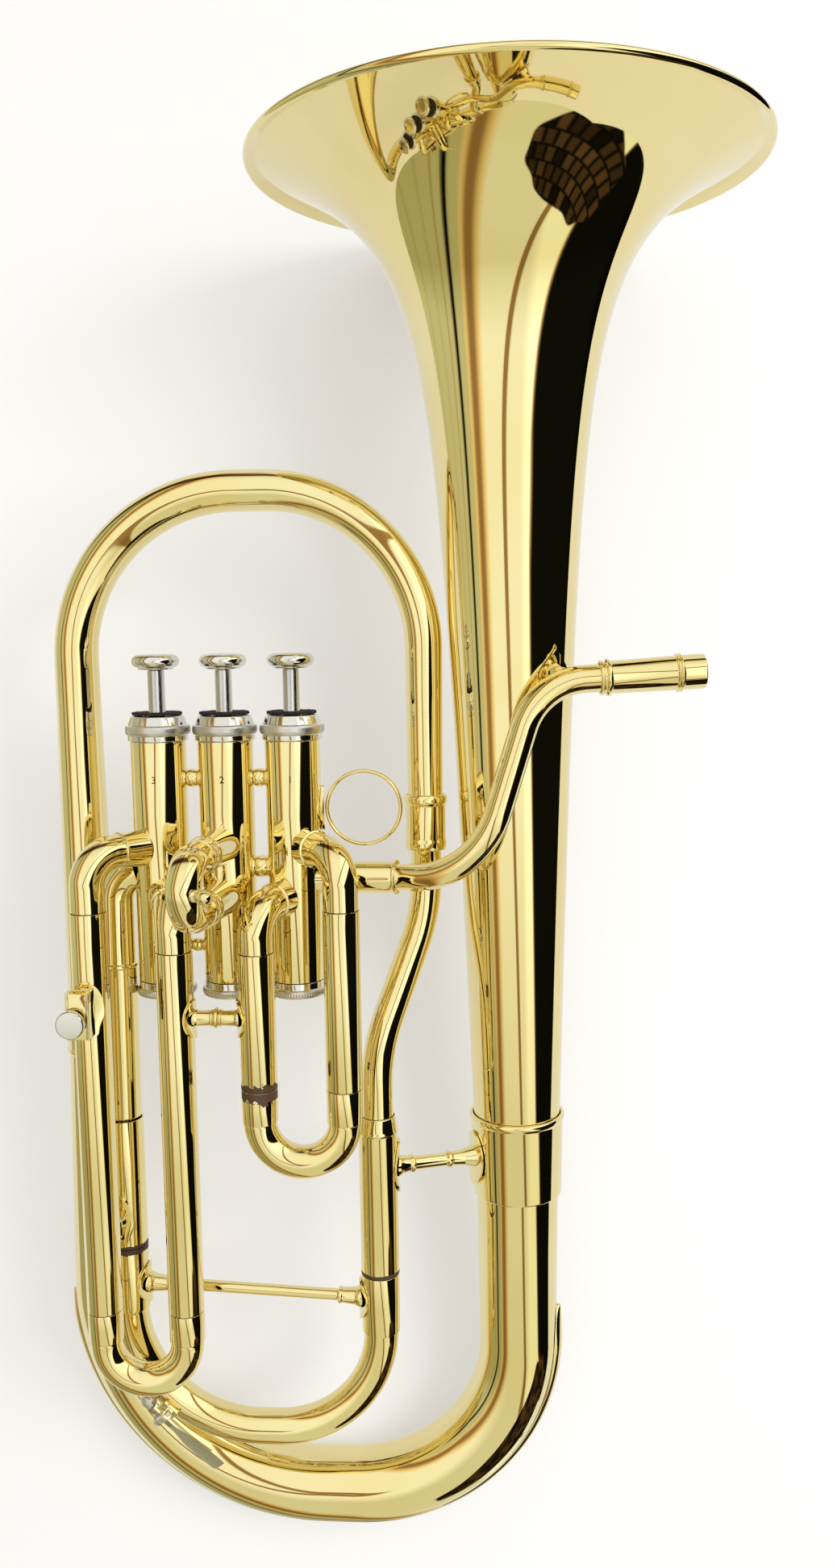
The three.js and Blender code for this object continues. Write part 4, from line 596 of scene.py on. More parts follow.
class Shape:
    """A mesh in the making, in the horn's axes and millimetres."""

    def __init__(self) -> None:
        """Starts empty."""
        self.mesh = bmesh.new()

    def turned(
        self, outline: Profile, sides: int = 64, closed: bool = True, soft: float = 0.25,
        place: Matrix = Matrix()
    ) -> "Shape":
        """Adds a body of revolution about y.

        Args:
            outline: Its half section as [radius, height] corners.
            sides: How many faces go round.
            closed: True if the section is a ring, False if it starts and ends on the axis.
            soft: How far the corners are rounded.
            place: Where it goes.

        Returns:
            This shape.
        """
        points = softened(outline, soft, closed) if soft > 0 else list(outline)
        part = bmesh.new()
        verts = [part.verts.new((radius, height, 0)) for radius, height in points]
        edges = [part.edges.new(pair) for pair in zip(verts, verts[1:])]
        if closed:
            edges.append(part.edges.new((verts[-1], verts[0])))
        bmesh.ops.spin(
            part, geom=verts + edges, cent=(0, 0, 0), axis=(0, 1, 0), angle=2 * math.pi, steps=sides,
            use_merge=True
        )
        return self.take(part, place)

    def turned_at_drops(
        self,
        outline: Profile,
        side: float = 0.0,
        front: float = 0.0,
        sides: int = 64,
        closed: bool = True,
        soft: float = 0.25,
    ) -> "Shape":
        """Adds a body of revolution about an upright axis, with heights as drops.

        Args:
            outline: Its half section as [radius, drop] corners.
            side: The axis's side.
            front: The axis's front.
            sides: How many faces go round.
            closed: True if the section is a ring, False if it starts and ends on the axis.
            soft: How far the corners are rounded.

        Returns:
            This shape.
        """
        flipped = [(radius, -drop) for radius, drop in outline]
        return self.turned(flipped, sides, closed, soft, Matrix.Translation((side, 0, front)))

    def swept(
        self,
        route: Route,
        profile: Profile,
        sides: int = 40,
        facing: Vector = FRONT,
        turn: float = 4.0,
        soft: float = 0.25,
        meets: Sequence[tuple[Vector, float, Vector]] = (),
    ) -> "Shape":
        """Adds a round pipe along a route, closed at its ends.

        Args:
            route: The route of its middle.
            profile: Its outside as [distance, radius] corners.
            sides: How many faces go round.
            facing: The direction that the first ring faces.
            turn: The widest turn between rings, in degrees.
            soft: How far the steps of the profile are rounded.
            meets: Upright tubes that it ends on, each with a point on its axis, its radius and
                the way from the axis to the pipe.

        Returns:
            This shape.
        """
        corners = softened(profile, soft, False)
        marks = [mark for mark, _ in corners]
        stations = list(corners)
        for stop in route.stops(math.radians(turn)):
            if marks[0] < stop < marks[-1] and min(abs(stop - mark) for mark in marks) > 0.05:
                stations.append((stop, value_at(profile, stop)))
        stations.sort(key=lambda station: station[0])
        frames = route.frames([mark for mark, _ in stations], facing)
        part = bmesh.new()
        bmesh.ops.create_circle(part, cap_ends=False, segments=sides, radius=1.0)
        verts, edges = list(part.verts), list(part.edges)
        last = Matrix()
        for index, ((_, radius), here) in enumerate(zip(stations, frames)):
            if index:
                out = bmesh.ops.extrude_edge_only(part, edges=edges)["geom"]
                verts = [item for item in out if isinstance(item, bmesh.types.BMVert)]
                edges = [item for item in out if isinstance(item, bmesh.types.BMEdge) and item.is_boundary]
            target = here @ Matrix.Diagonal((radius, radius, 1.0, 1.0))
            bmesh.ops.transform(part, matrix=target @ last.inverted(), verts=verts)
            last = target
        rims = [edge for edge in part.edges if edge.is_boundary]
        bmesh.ops.holes_fill(part, edges=rims, sides=0)
        for axis, radius, outward in meets:
            self.meet(part, axis, radius, outward)
        return self.take(part)

    @staticmethod
    def meet(part: bmesh.types.BMesh, axis: Vector, radius: float, outward: Vector) -> None:
        """Ends a part on the surface of an upright tube.

        Args:
            part: The part, which reaches into the tube.
            axis: A point on the tube's axis.
            radius: The tube's radius.
            outward: The way from the axis to the part.
        """
        level = Vector((outward.x, 0, outward.z)).normalized()
        across = UP.cross(level)
        for vert in part.verts:
            apart = vert.co - axis
            aside, away = apart.dot(across), apart.dot(level)
            surface = math.sqrt(max(radius * radius - aside * aside, 0.0))
            if away < surface:
                vert.co += level * (surface - away)

    def rod(
        self,
        start: Vector,
        end: Vector,
        marks: Profile,
        sides: int = 40,
        soft: float = 0.25,
        tubes: tuple[float, float] = (0.0, 0.0),
    ) -> "Shape":
        """Adds a turned rod between two points.

        Args:
            start: Where its axis starts.
            end: Where its axis ends.
            marks: Its outside as [distance from the start, radius] corners.
            sides: How many faces go round.
            soft: How far the corners are rounded.
            tubes: Radii of the upright tubes that its start and its end lie on, or 0.

        Returns:
            This shape.
        """
        run = (end - start).normalized()
        first, last = marks[0][1], marks[-1][1]
        outline = [(radius, mark) for mark, radius in marks]
        if tubes[0] > 0:
            outline.insert(0, (first, marks[0][0] - tubes[0] + math.sqrt(tubes[0] ** 2 - first ** 2) - 0.3))
        if tubes[1] > 0:
            outline.append((last, marks[-1][0] + tubes[1] - math.sqrt(tubes[1] ** 2 - last ** 2) + 0.3))
        outline = [(0.0, outline[0][1]), *outline, (0.0, outline[-1][1])]
        rod = Shape().turned(outline, sides, False, soft, aimed(start, run))
        if tubes[0] > 0:
            self.meet(rod.mesh, start - run * tubes[0], tubes[0], run)
        if tubes[1] > 0:
            self.meet(rod.mesh, end + run * tubes[1], tubes[1], -run)
        return self.take(rod.mesh)

    def box(self, centre: Vector, size: Vector, soft: float, turn: Matrix = Matrix()) -> "Shape":
        """Adds a block with rounded edges."""
        part = bmesh.new()
        bmesh.ops.create_cube(part, size=1.0)
        bmesh.ops.scale(part, vec=size, verts=part.verts)
        bmesh.ops.bevel(
            part, geom=list(part.edges), offset=soft, segments=3, profile=0.5, affect="EDGES", material=-1
        )
        return self.take(part, Matrix.Translation(centre) @ turn)

    def hugging_plate(
        self,
        centre: Vector,
        radius: float,
        outward: Vector,
        length: float,
        width: float,
        thickness: float = 0.9,
        point: float = 0.0,
        lean: Callable[[float], float] | None = None,
    ) -> "Shape":
        """Adds an oval plate that hugs an upright tube.

        Args:
            centre: The middle of the tube behind the plate.
            radius: The tube's radius.
            outward: The way from the tube's axis to the plate's middle.
            length: The plate's size along the tube.
            width: The plate's size round the tube.
            thickness: How thick it is.
            point: How far its two ends are drawn out to points, from 0 to 1.
            lean: The tube's radius at a height above the centre, where it tapers.

        Returns:
            This shape.
        """
        part = bmesh.new()
        bmesh.ops.create_circle(part, cap_ends=True, segments=48, radius=1.0)
        for _ in range(4):
            inner = [face for face in part.faces if len(face.verts) == 48]
            bmesh.ops.inset_region(part, faces=inner, thickness=0.2, use_even_offset=True)
        bmesh.ops.poke(part, faces=[face for face in part.faces if len(face.verts) == 48])
        for vert in part.verts:
            sharpness = 1 - point * abs(vert.co.x) ** 1.5
            vert.co = Vector((vert.co.x * length / 2, vert.co.y * sharpness * width / 2, 0))
        bmesh.ops.solidify(part, geom=list(part.faces), thickness=thickness)
        low = min(vert.co.z for vert in part.verts)
        across = UP.cross(outward)
        for vert in part.verts:
            tube = lean(vert.co.x) if lean else radius
            reach = tube + vert.co.z - low
            angle = vert.co.y / tube
            vert.co = (
                centre + UP * vert.co.x
                + outward * reach * math.cos(angle) + across * reach * math.sin(angle)
            )
        return self.take(part)

    def take(self, part: bmesh.types.BMesh, place: Matrix = Matrix()) -> "Shape":
        """Closes a finished part and adds it to this shape.

        Args:
            part: The part, which is freed.
            place: Where it goes.

        Returns:
            This shape.
        """
        bmesh.ops.remove_doubles(part, verts=part.verts, dist=0.001)
        bmesh.ops.dissolve_degenerate(part, edges=part.edges, dist=0.0005)
        bmesh.ops.recalc_face_normals(part, faces=part.faces)
        bmesh.ops.transform(part, matrix=place, verts=part.verts)
        carrier = bpy.data.meshes.new("carrier")
        part.to_mesh(carrier)
        part.free()
        self.mesh.from_mesh(carrier)
        bpy.data.meshes.remove(carrier)
        return self

    def mark(self, index: int, test: Callable[[Vector], bool]) -> "Shape":
        """Gives the faces whose centre passes a test the finish with an index."""
        for face in self.mesh.faces:
            if test(face.calc_center_median()):
                face.material_index = index
        return self

    def turn_all(self, matrix: Matrix) -> "Shape":
        """Moves everything made so far and returns this shape."""
        bmesh.ops.transform(self.mesh, matrix=matrix, verts=self.mesh.verts)
        return self

    def piece(
        self, name: str, finish: Metal | Soft, nodes: Sequence[str] = (), body: Body = Body.HORN,
        slot: str = "lacquer", crease: float = 32.0, trims: Sequence[Metal | Soft] = (),
    ) -> bpy.types.Object:
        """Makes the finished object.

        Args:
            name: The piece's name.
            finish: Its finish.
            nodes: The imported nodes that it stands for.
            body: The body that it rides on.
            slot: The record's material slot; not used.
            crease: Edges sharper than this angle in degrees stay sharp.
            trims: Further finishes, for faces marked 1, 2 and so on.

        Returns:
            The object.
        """
        bmesh.ops.transform(self.mesh, matrix=HORN, verts=self.mesh.verts)
        for face in self.mesh.faces:
            face.smooth = True
        data = bpy.data.meshes.new(name)
        self.mesh.to_mesh(data)
        self.mesh.free()
        data.set_sharp_from_angle(angle=math.radians(crease))
        for each in (finish, *trims):
            data.materials.append(material_of(each))
        piece = bpy.data.objects.new(name, data)
        bpy.context.scene.collection.objects.link(piece)
        if nodes:
            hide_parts(*nodes)
        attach(piece, body.value)
        LOG.info("%s: %d faces on %s", name, len(data.polygons), body.value)
        return piece


def aimed(start: Vector, direction: Vector) -> Matrix:
    """Returns the matrix that takes the y axis to a direction from a point."""
    turn = UP.rotation_difference(direction.normalized()).to_matrix().to_4x4()
    return Matrix.Translation(start) @ turn


# Sub-assemblies


@dataclass
class Bell:
    """The bell with its wired rim, and the ferrule on its stem."""

    rim_radius: float = 101.5
    bead_radius: float = 1.7
    end_drop: float = 404.0
    throat_radius: float = 17.5
    throat_drop: float = 392.0
    slope: float = 0.029
    flare_depth: float = 70.7
    flare_power: float = 2.72
    wall: float = 0.8
    lean: float = math.radians(0.36)
    ferrule_top: float = 383.5
    ferrule_bottom: float = 418.5
    bow_radius: float = 17.4

    def radius(self, drop: float) -> float:
        """Returns the outside radius at a drop."""
        stem = self.throat_radius + self.slope * (self.throat_drop - drop)
        flare = self.rim_radius - self.throat_radius - self.slope * self.throat_drop
        curve = flare * (self.flare_depth / (drop + self.flare_depth)) ** self.flare_power
        return max(self.throat_radius, stem + curve)

    def build(self) -> None:
        """Makes the bell and its ferrule."""
        count = 90
        drops = [self.bead_radius + (self.end_drop - self.bead_radius) * (i / count) ** 2.1
            for i in range(count + 1)]
        outside = [(self.radius(drop), drop) for drop in drops]
        inside: Profile = []
        for drop in drops:
            slope = (self.radius(drop + 0.2) - self.radius(drop - 0.2)) / 0.4
            tilt = math.hypot(1.0, slope)
            inside.append((self.radius(drop) - self.wall / tilt, drop + self.wall * slope / tilt))
        inside = [(radius, drop) for radius, drop in inside if drop > self.bead_radius / 2]
        middle = self.rim_radius - self.bead_radius
        bead = [
            (middle + self.bead_radius * math.cos(turn), self.bead_radius + self.bead_radius * math.sin(turn))
            for turn in (math.radians(angle) for angle in range(-140, 71, 10))
        ]
        outline = [*reversed(inside), *bead, *outside[1:]]
        shape = Shape().turned_at_drops(outline, sides=192, soft=0.0)
        shape.turn_all(Matrix.Rotation(self.lean, 4, "Z"))
        shape.piece("bell_shell", BELL_LACQUER, ["bell"], crease=40)
        self.build_ferrule()

    def build_ferrule(self) -> None:
        """Makes the ferrule between the stem and the bottom bow."""
        top, bottom = self.ferrule_top, self.ferrule_bottom
        upper = self.radius(top) + SEAT_GAP
        lower = self.bow_radius + SEAT_GAP
        outline = [
            (lower, bottom), (upper, top), (upper + 0.9, top), (upper + 1.4, top + 0.7),
            (upper + 1.5, top + 1.5),
            (upper + 1.4, top + 2.3), (upper + 0.9, top + 3.0), (lower + 0.9, bottom - 0.4),
            (lower + 0.6, bottom),
        ]
        shape = Shape().turned_at_drops(outline, sides=96, soft=0.35)
        shape.turn_all(Matrix.Rotation(self.lean, 4, "Z"))
        shape.piece("bell_stem_ferrule", LACQUER, ["bell_ferrule"])


@dataclass
class BottomBow:
    """The bottom bow with its left branch, and the half-round guard along its outside."""

    right_side: float = 2.55
    left_side: float = -177.0
    bottom_drop: float = 554.8
    right_bend: float = 71.0
    left_bend: float = 94.0
    top_drop: float = 404.3
    branch_drop: float = 345.3
    radii: tuple[tuple[float, float], ...] = ((0.0, 17.4), (0.5, 14.8), (0.8, 12.6), (1.0, 10.5))
    guard_right_drop: float = 470.0
    guard_left_drop: float = 465.0
    guard_height: float = 2.3
    guard_half_angle: float = math.radians(18)
    guard_point: float = 14.0

    def route(self) -> Route:
        """Returns the route of the bow's middle."""
        return Route([
            (at(self.right_side, self.top_drop), 0),
            (at(self.right_side, self.bottom_drop), self.right_bend),
            (at(self.left_side, self.bottom_drop), self.left_bend),
            (at(self.left_side, self.branch_drop), 0),
        ])

    def profile(self, route: Route) -> Profile:
        """Returns the bow's outside along its route."""
        return [(share * route.length, radius) for share, radius in self.radii]

    def build(self) -> None:
        """Makes the bow and its guard."""
        route = self.route()
        shape = Shape().swept(route, self.profile(route), sides=64, turn=2.5)
        shape.piece("bottom_bow_tube", BELL_LACQUER, ["bottom_bow"])
        self.build_guard(route)

    def build_guard(self, route: Route) -> None:
        """Makes the guard strip, pointed at both ends.

        Args:
            route: The bow's route.
        """
        start = self.guard_right_drop - self.top_drop
        end = route.length - (self.guard_left_drop - self.branch_drop)
        marks = sorted({start, end, *[mark for mark in route.stops(math.radians(2.5)) if start < mark < end],
                        *[start + self.guard_point * share for share in (0.03, 0.1, 0.2, 0.35, 0.55, 0.8)],
                        *[end - self.guard_point * share for share in (0.03, 0.1, 0.2, 0.35, 0.55, 0.8)]})
        frames = route.frames(marks, RIGHT)
        profile = self.profile(route)
        part = bmesh.new()
        bmesh.ops.create_circle(part, cap_ends=False, segments=32, radius=1.0)
        for vert in part.verts:
            vert.co.x = max(vert.co.x, 0.0)
        bmesh.ops.remove_doubles(part, verts=part.verts, dist=0.001)
        verts, edges = list(part.verts), list(part.edges)
        last = Matrix()
        for index, (mark, here) in enumerate(zip(marks, frames)):
            if index:
                out = bmesh.ops.extrude_edge_only(part, edges=edges)["geom"]
                verts = [item for item in out if isinstance(item, bmesh.types.BMVert)]
                edges = [item for item in out if isinstance(item, bmesh.types.BMEdge) and item.is_boundary]
            near = min(mark - start, end - mark) / self.guard_point
            wide = 0.06 + 0.94 * math.sqrt(min(1.0, max(near, 0.0)))
            radius = value_at(profile, mark)
            half = (radius + 0.6) * math.sin(self.guard_half_angle) * wide
            base = (radius - 0.4) * math.cos(self.guard_half_angle * wide)
            height = (radius + SEAT_GAP + self.guard_height * (0.45 + 0.55 * wide)) - base
            target = here @ Matrix.Translation((base, 0, 0)) @ Matrix.Diagonal((height, half, 1.0, 1.0))
            bmesh.ops.transform(part, matrix=target @ last.inverted(), verts=verts)
            last = target
        bmesh.ops.holes_fill(part, edges=[edge for edge in part.edges if edge.is_boundary], sides=0)
        Shape().take(part).piece("bow_guard_strip", LACQUER, ["bow_guard"])


@dataclass
class TopBow:
    """The top bow with its left branch, and its two ferrules."""

    right_side: float = -34.5
    left_side: float = -178.2
    drop: float = 124.8
    right_bend: float = 63.8
    left_bend: float = 66.8
    end_drop: float = 262.0
    branch_side: float = -177.0
    branch_drop: float = 345.0
    radii: tuple[tuple[float, float], ...] = ((0.0, 7.2), (0.45, 8.45), (0.7, 9.05), (1.0, 10.5))
    branch_collar_radius: float = 10.8
    return_collar_radius: float = 7.5

    def build(self) -> None:
        """Makes the bow and its ferrules."""
        route = Route([
            (at(self.right_side, self.end_drop), 0),
            (at(self.right_side, self.drop), self.right_bend),
            (at(self.left_side, self.drop), self.left_bend),
            (at(self.branch_side, self.branch_drop), 0),
        ])
        profile = [(share * route.length, radius) for share, radius in self.radii]
        Shape().swept(route, profile, sides=56, turn=2.5).piece("top_bow_tube", LACQUER, ["top_bow"])
        large = self.branch_collar_radius
        Shape().turned_at_drops([
            (large, 358), (large, 332), (large + 0.6, 332), (large + 1.0, 332.8), (large + 1.0, 333.6),
            (large + 0.6, 334.4), (large + 0.6, 355.6), (large + 1.0, 356.4), (large + 1.0, 357.2),
            (large + 0.6, 358),
        ], self.branch_side, 0, soft=0.3).piece("branch_collar", LACQUER, ["branch_ferrule"])
        small = self.return_collar_radius
        Shape().turned_at_drops([
            (small, 271.5), (small, 248.5), (small + 0.9, 248.5), (small + 1.5, 249.6), (small + 1.6, 250.7),
            (small + 1.5, 251.8), (small + 0.9, 252.9), (small + 0.9, 266.8), (small + 1.2, 268.2),
            (small + 1.2, 270.0), (small + 0.9, 271.5),
        ], self.right_side, 0, soft=0.4).piece("top_bow_collar", LACQUER, ["top_bow_ferrule"])


@dataclass
class ReturnPipe:
    """The pipe from the top bow down to the tuning slide."""

    radius: float = 6.5
    bend: float = 55.0
    upper_side: float = -34.5
    lower_side: float = -54.5
    lower_front: float = 23.0
    drops: tuple[float, float, float, float] = (262.3, 297.0, 350.0, 393.0)

    def build(self) -> None:
        """Makes the pipe."""
        start, upper, lower, end = self.drops
        route = Route([
            (at(self.upper_side, start), 0),
            (at(self.upper_side, upper), self.bend),
            (at(self.lower_side, lower, self.lower_front), self.bend),
            (at(self.lower_side, end, self.lower_front), 0),
        ])
        shape = Shape().swept(route, [(0, self.radius), (route.length, self.radius)])
        shape.piece("return_tube", LACQUER, ["return_pipe"])


@dataclass
class WaterKeyPlace:
    """Where the water key sits on the tuning slide's bow."""

    angle: float = math.radians(48.5)
    lean: float = math.radians(58)

    def matrix(self, left_side: float, bend: float, bow_drop: float, front: float) -> Matrix:
        """Finds the key's own axes: x along the bow, y away from it and z across.

        Args:
            left_side: Side of the slide's left leg.
            bend: Radius of its left bend.
            bow_drop: Drop of the bow's lowest run.
            front: Front of the slide.

        Returns:
            The matrix from the key's axes to the horn's.
        """
        centre = at(left_side + bend, bow_drop - bend, front)
        outward = Vector((-math.cos(self.angle), -math.sin(self.angle), 0))
        along = Vector((math.sin(self.angle), -math.cos(self.angle), 0))
        up = outward * math.cos(self.lean) + FRONT * math.sin(self.lean)
        result = Matrix((along, up, along.cross(up))).transposed().to_4x4()
        result.translation = centre + outward * bend
        return result


@dataclass
class TuningSlide:
    """The tuning slide: its two sleeves, the sliding bow, its brace and the water key."""

    front: float = 23.0
    right_side: float = -54.5
    left_side: float = -159.3
    sleeve_radius: float = 7.9
    leg_radius: float = 7.0
    bow_radius: float = 7.1
    ring_radius: float = 7.8
    right_end: float = 444.5
    left_end: float = 433.0
    right_ring_end: float = 469.5
    left_ring_end: float = 461.0
    bow_drop: float = 513.8
    right_bend: float = 43.7
    left_bend: float = 53.8
    leg_top: float = 395.0
    key: WaterKeyPlace = field(default_factory=WaterKeyPlace)

    def build(self) -> None:
        """Makes every piece of the slide."""
        self.build_sleeves()
        self.build_bow()
        self.build_brace()
        self.build_key()

    def build_sleeves(self) -> None:
        """Makes the right sleeve with its tapered cap, the outlet elbow and the left sleeve."""
        bore, wide = self.leg_radius + SEAT_GAP, self.sleeve_radius
        Shape().turned_at_drops([
            (6.8, 377), (6.8, 385), (bore, 389), (bore, self.right_end), (wide, self.right_end),
            (wide, 384.4),
            (wide + 0.3, 383.6), (wide, 382.6), (7.2, 377.4),
        ], self.right_side, self.front).piece("tuning_sleeve_right", GREASED_RIGHT, ["main_sleeve_right"])
        elbow = Route([
            (at(-139.9, 276.2, 20), 0), (at(self.left_side, 276.2, 20), 12.0),
            (at(self.left_side, 378, self.front), 0),
        ])
        collar = elbow.length - 64
        Shape().swept(elbow, [
            (10.0, 7.0), (collar, 7.0), (collar + 0.3, 7.9), (collar + 1.5, 7.9), (collar + 1.8, 7.5),
            (elbow.length - 0.4, 7.5), (elbow.length, 7.2),
        ]).piece("outlet_elbow", LACQUER, ["main_outlet_elbow"])
        Shape().turned_at_drops([
            (bore, self.left_end), (bore, 378.6), (wide, 378.6), (wide, self.left_end),
        ], self.left_side, self.front).piece("tuning_sleeve_left", GREASED_MAIN, ["main_sleeve_left"])

    def bow_route(self) -> Route:
        """Returns the route of the sliding bow."""
        return Route([
            (at(self.right_side, self.leg_top, self.front), 0),
            (at(self.right_side, self.bow_drop, self.front), self.right_bend),
            (at(self.left_side, self.bow_drop, self.front), self.left_bend),
            (at(self.left_side, self.leg_top, self.front), 0),
        ])

    def build_bow(self) -> None:
        """Makes the sliding bow with its legs, rings and drain nipple."""
        route = self.bow_route()
        total, top = route.length, self.leg_top
        rings = [
            (self.right_end + SEAT_GAP - top, self.right_ring_end - top),
            (total - (self.left_ring_end - top), total - (self.left_end + SEAT_GAP - top)),
        ]
        profile: Profile = [(0, self.leg_radius)]
        for index, (start, end) in enumerate(rings):
            before = self.leg_radius if index == 0 else self.bow_radius
            after = self.bow_radius if index == 0 else self.leg_radius
            profile += [(start, before), (start, self.ring_radius), (end, self.ring_radius), (end, after)]
        profile.append((total, self.leg_radius))
        shape = Shape().swept(route, profile, sides=48, turn=3)
        place = self.key.matrix(self.left_side, self.left_bend, self.bow_drop, self.front)
        shape.turned(
            [(1.3, 6.0), (2.9, 6.0), (2.6, 7.6), (2.3, 8.1), (1.3, 8.1)], 32, True, 0.15,
            place @ Matrix.Translation((-9, 0, 0)),
        )
        shape.piece("tuning_bow", GREASED_MAIN, ["main_slide_bow"], Body.TUNING_SLIDE)

    def build_brace(self) -> None:
        """Makes the turned brace with its two oval flanges."""
        left = at(self.left_side, 449.8, self.front)
        right = at(self.right_side, 455.8, self.front)
        run = (right - left).normalized()
        seat = self.ring_radius + 0.8
        start, end = left + run * seat, right - run * seat
        length = (end - start).length
        shape = Shape().rod(start, end, [
            (0, 4.4), (0.8, 4.2), (2.0, 3.6), (7.2, 3.1), (7.8, 3.5), (8.8, 3.5), (9.3, 2.5), (9.8, 2.35),
            (length - 9.8, 2.35), (length - 9.3, 2.5), (length - 8.8, 3.5), (length - 7.8, 3.5),
            (length - 7.2, 3.1), (length - 2.0, 3.6), (length - 0.8, 4.2), (length, 4.4),
        ], tubes=(seat, seat))
        shape.hugging_plate(left, self.ring_radius + 0.2, RIGHT, 17, 14.6)
        shape.hugging_plate(right, self.ring_radius + 0.2, LEFT, 17, 14.6)
        shape.piece("tuning_brace", LACQUER, ["main_slide_brace"], Body.TUNING_SLIDE)

    def build_key(self) -> None:
        """Makes the water key: saddle, lever, spring and cork."""
        place = self.key.matrix(self.left_side, self.left_bend, self.bow_drop, self.front)
        tube, pivot = self.bow_radius, self.bow_radius + SEAT_GAP + 3.6
        quarter = Matrix.Rotation(math.pi / 2, 4, "X")

        saddle = Shape()
        saddle.box(Vector((0, tube + 0.7, 0)), Vector((8, 1.6, 8.4)), 0.4)
        for side in (-1, 1):
            saddle.box(Vector((0, (pivot + tube) / 2 + 0.4, side * 2.95)), Vector((3.6, 3.4, 1.3)), 0.3)
            disc = [(0, 2.3), (2.0, 2.3), (2.0, 3.6), (0, 3.6)]
            saddle.turned(
                disc, 32, False, 0.2, Matrix.Translation((0, pivot, 0)) @ quarter @ Matrix.Scale(side, 4, UP)
            )
        bmesh.ops.recalc_face_normals(saddle.mesh, faces=saddle.mesh.faces)
        saddle.turn_all(place).piece("key_saddle", LACQUER, ["water_key_saddle"], Body.TUNING_SLIDE)

        lever = Shape()
        lever.take(self.lever_blade(pivot + 0.9))
        hub = Matrix.Translation((0, pivot, 0)) @ quarter
        lever.turned([(0, -2.0), (2.0, -2.0), (2.0, 2.0), (0, 2.0)], 32, False, 0.2, hub)
        lever.turned([(0, -4.5), (0.9, -4.5), (0.9, 6.3), (0, 6.3)], 24, False, 0.2, hub)
        cork_top = pivot - 1.3
        lever.turned([
            (0, cork_top), (3.4, cork_top), (3.4, cork_top + 1.6), (1.6, pivot + 1.45), (0, pivot + 1.45),
        ], 32, False, 0.3, Matrix.Translation((-9, 0, 0)))
        lever.turn_all(place).piece(
            "key_lever", SATIN_NICKEL, ["water_key_lever"], Body.WATER_KEY, "nickel", crease=40
        )

        spring = Shape()
        turns = 3
        for turn in range(turns):
            middle = 4.3 + turn * 0.75
            ring = Route([
                (Vector((1.75 * math.cos(a), middle + 0.75 * a / (2 * math.pi), 1.75 * math.sin(a))), 0.4)
                for a in (2 * math.pi * step / 12 for step in range(13))
            ])
            spring.swept(ring, [(0, 0.3), (ring.length, 0.3)], sides=8, facing=UP, soft=0.0)
        spring.turn_all(hub)
        spring.turn_all(place).piece(
            "key_spring", WIRE, ["water_key_spring"], Body.TUNING_SLIDE, "steel"
        )
        cork = Shape().turned([
            (0, cork_top - 0.1), (3.1, cork_top - 0.1), (3.1, cork_top - 1.3), (0, cork_top - 1.3),
        ], 32, False, 0.2, Matrix.Translation((-9, 0, 0)))
        cork.turn_all(place).piece("key_cork", CORK, ["water_key_cork"], Body.WATER_KEY, "cork")

    @staticmethod
    def lever_blade(base: float) -> bmesh.types.BMesh:
        """Makes the flat lever, wide and arched at its touch.

        Args:
            base: Height of its underside.

        Returns:
            The blade's mesh.
        """
        part = bmesh.new()
        bmesh.ops.create_grid(part, x_segments=32, y_segments=6, size=1.0)
        for vert in part.verts:
            along = -9 + (vert.co.x + 1) / 2 * 40.0
            share = min(1.0, max(0.0, (along - 5.0) / 12.0))
            wide = 1.6 + 3.3 * share * share * (3 - 2 * share)
            if along > 28.5:
                wide *= 1 - 0.12 * ((along - 28.5) / 2.5) ** 2
            arch = 0.5 * share * (1 - vert.co.y ** 2)
            vert.co = Vector((along, base + arch, vert.co.y * wide))
        bmesh.ops.solidify(part, geom=list(part.faces), thickness=-0.9)
        low = min(vert.co.y for vert in part.verts)
        bmesh.ops.translate(part, vec=(0, max(0.0, base - low), 0), verts=part.verts)
        return part


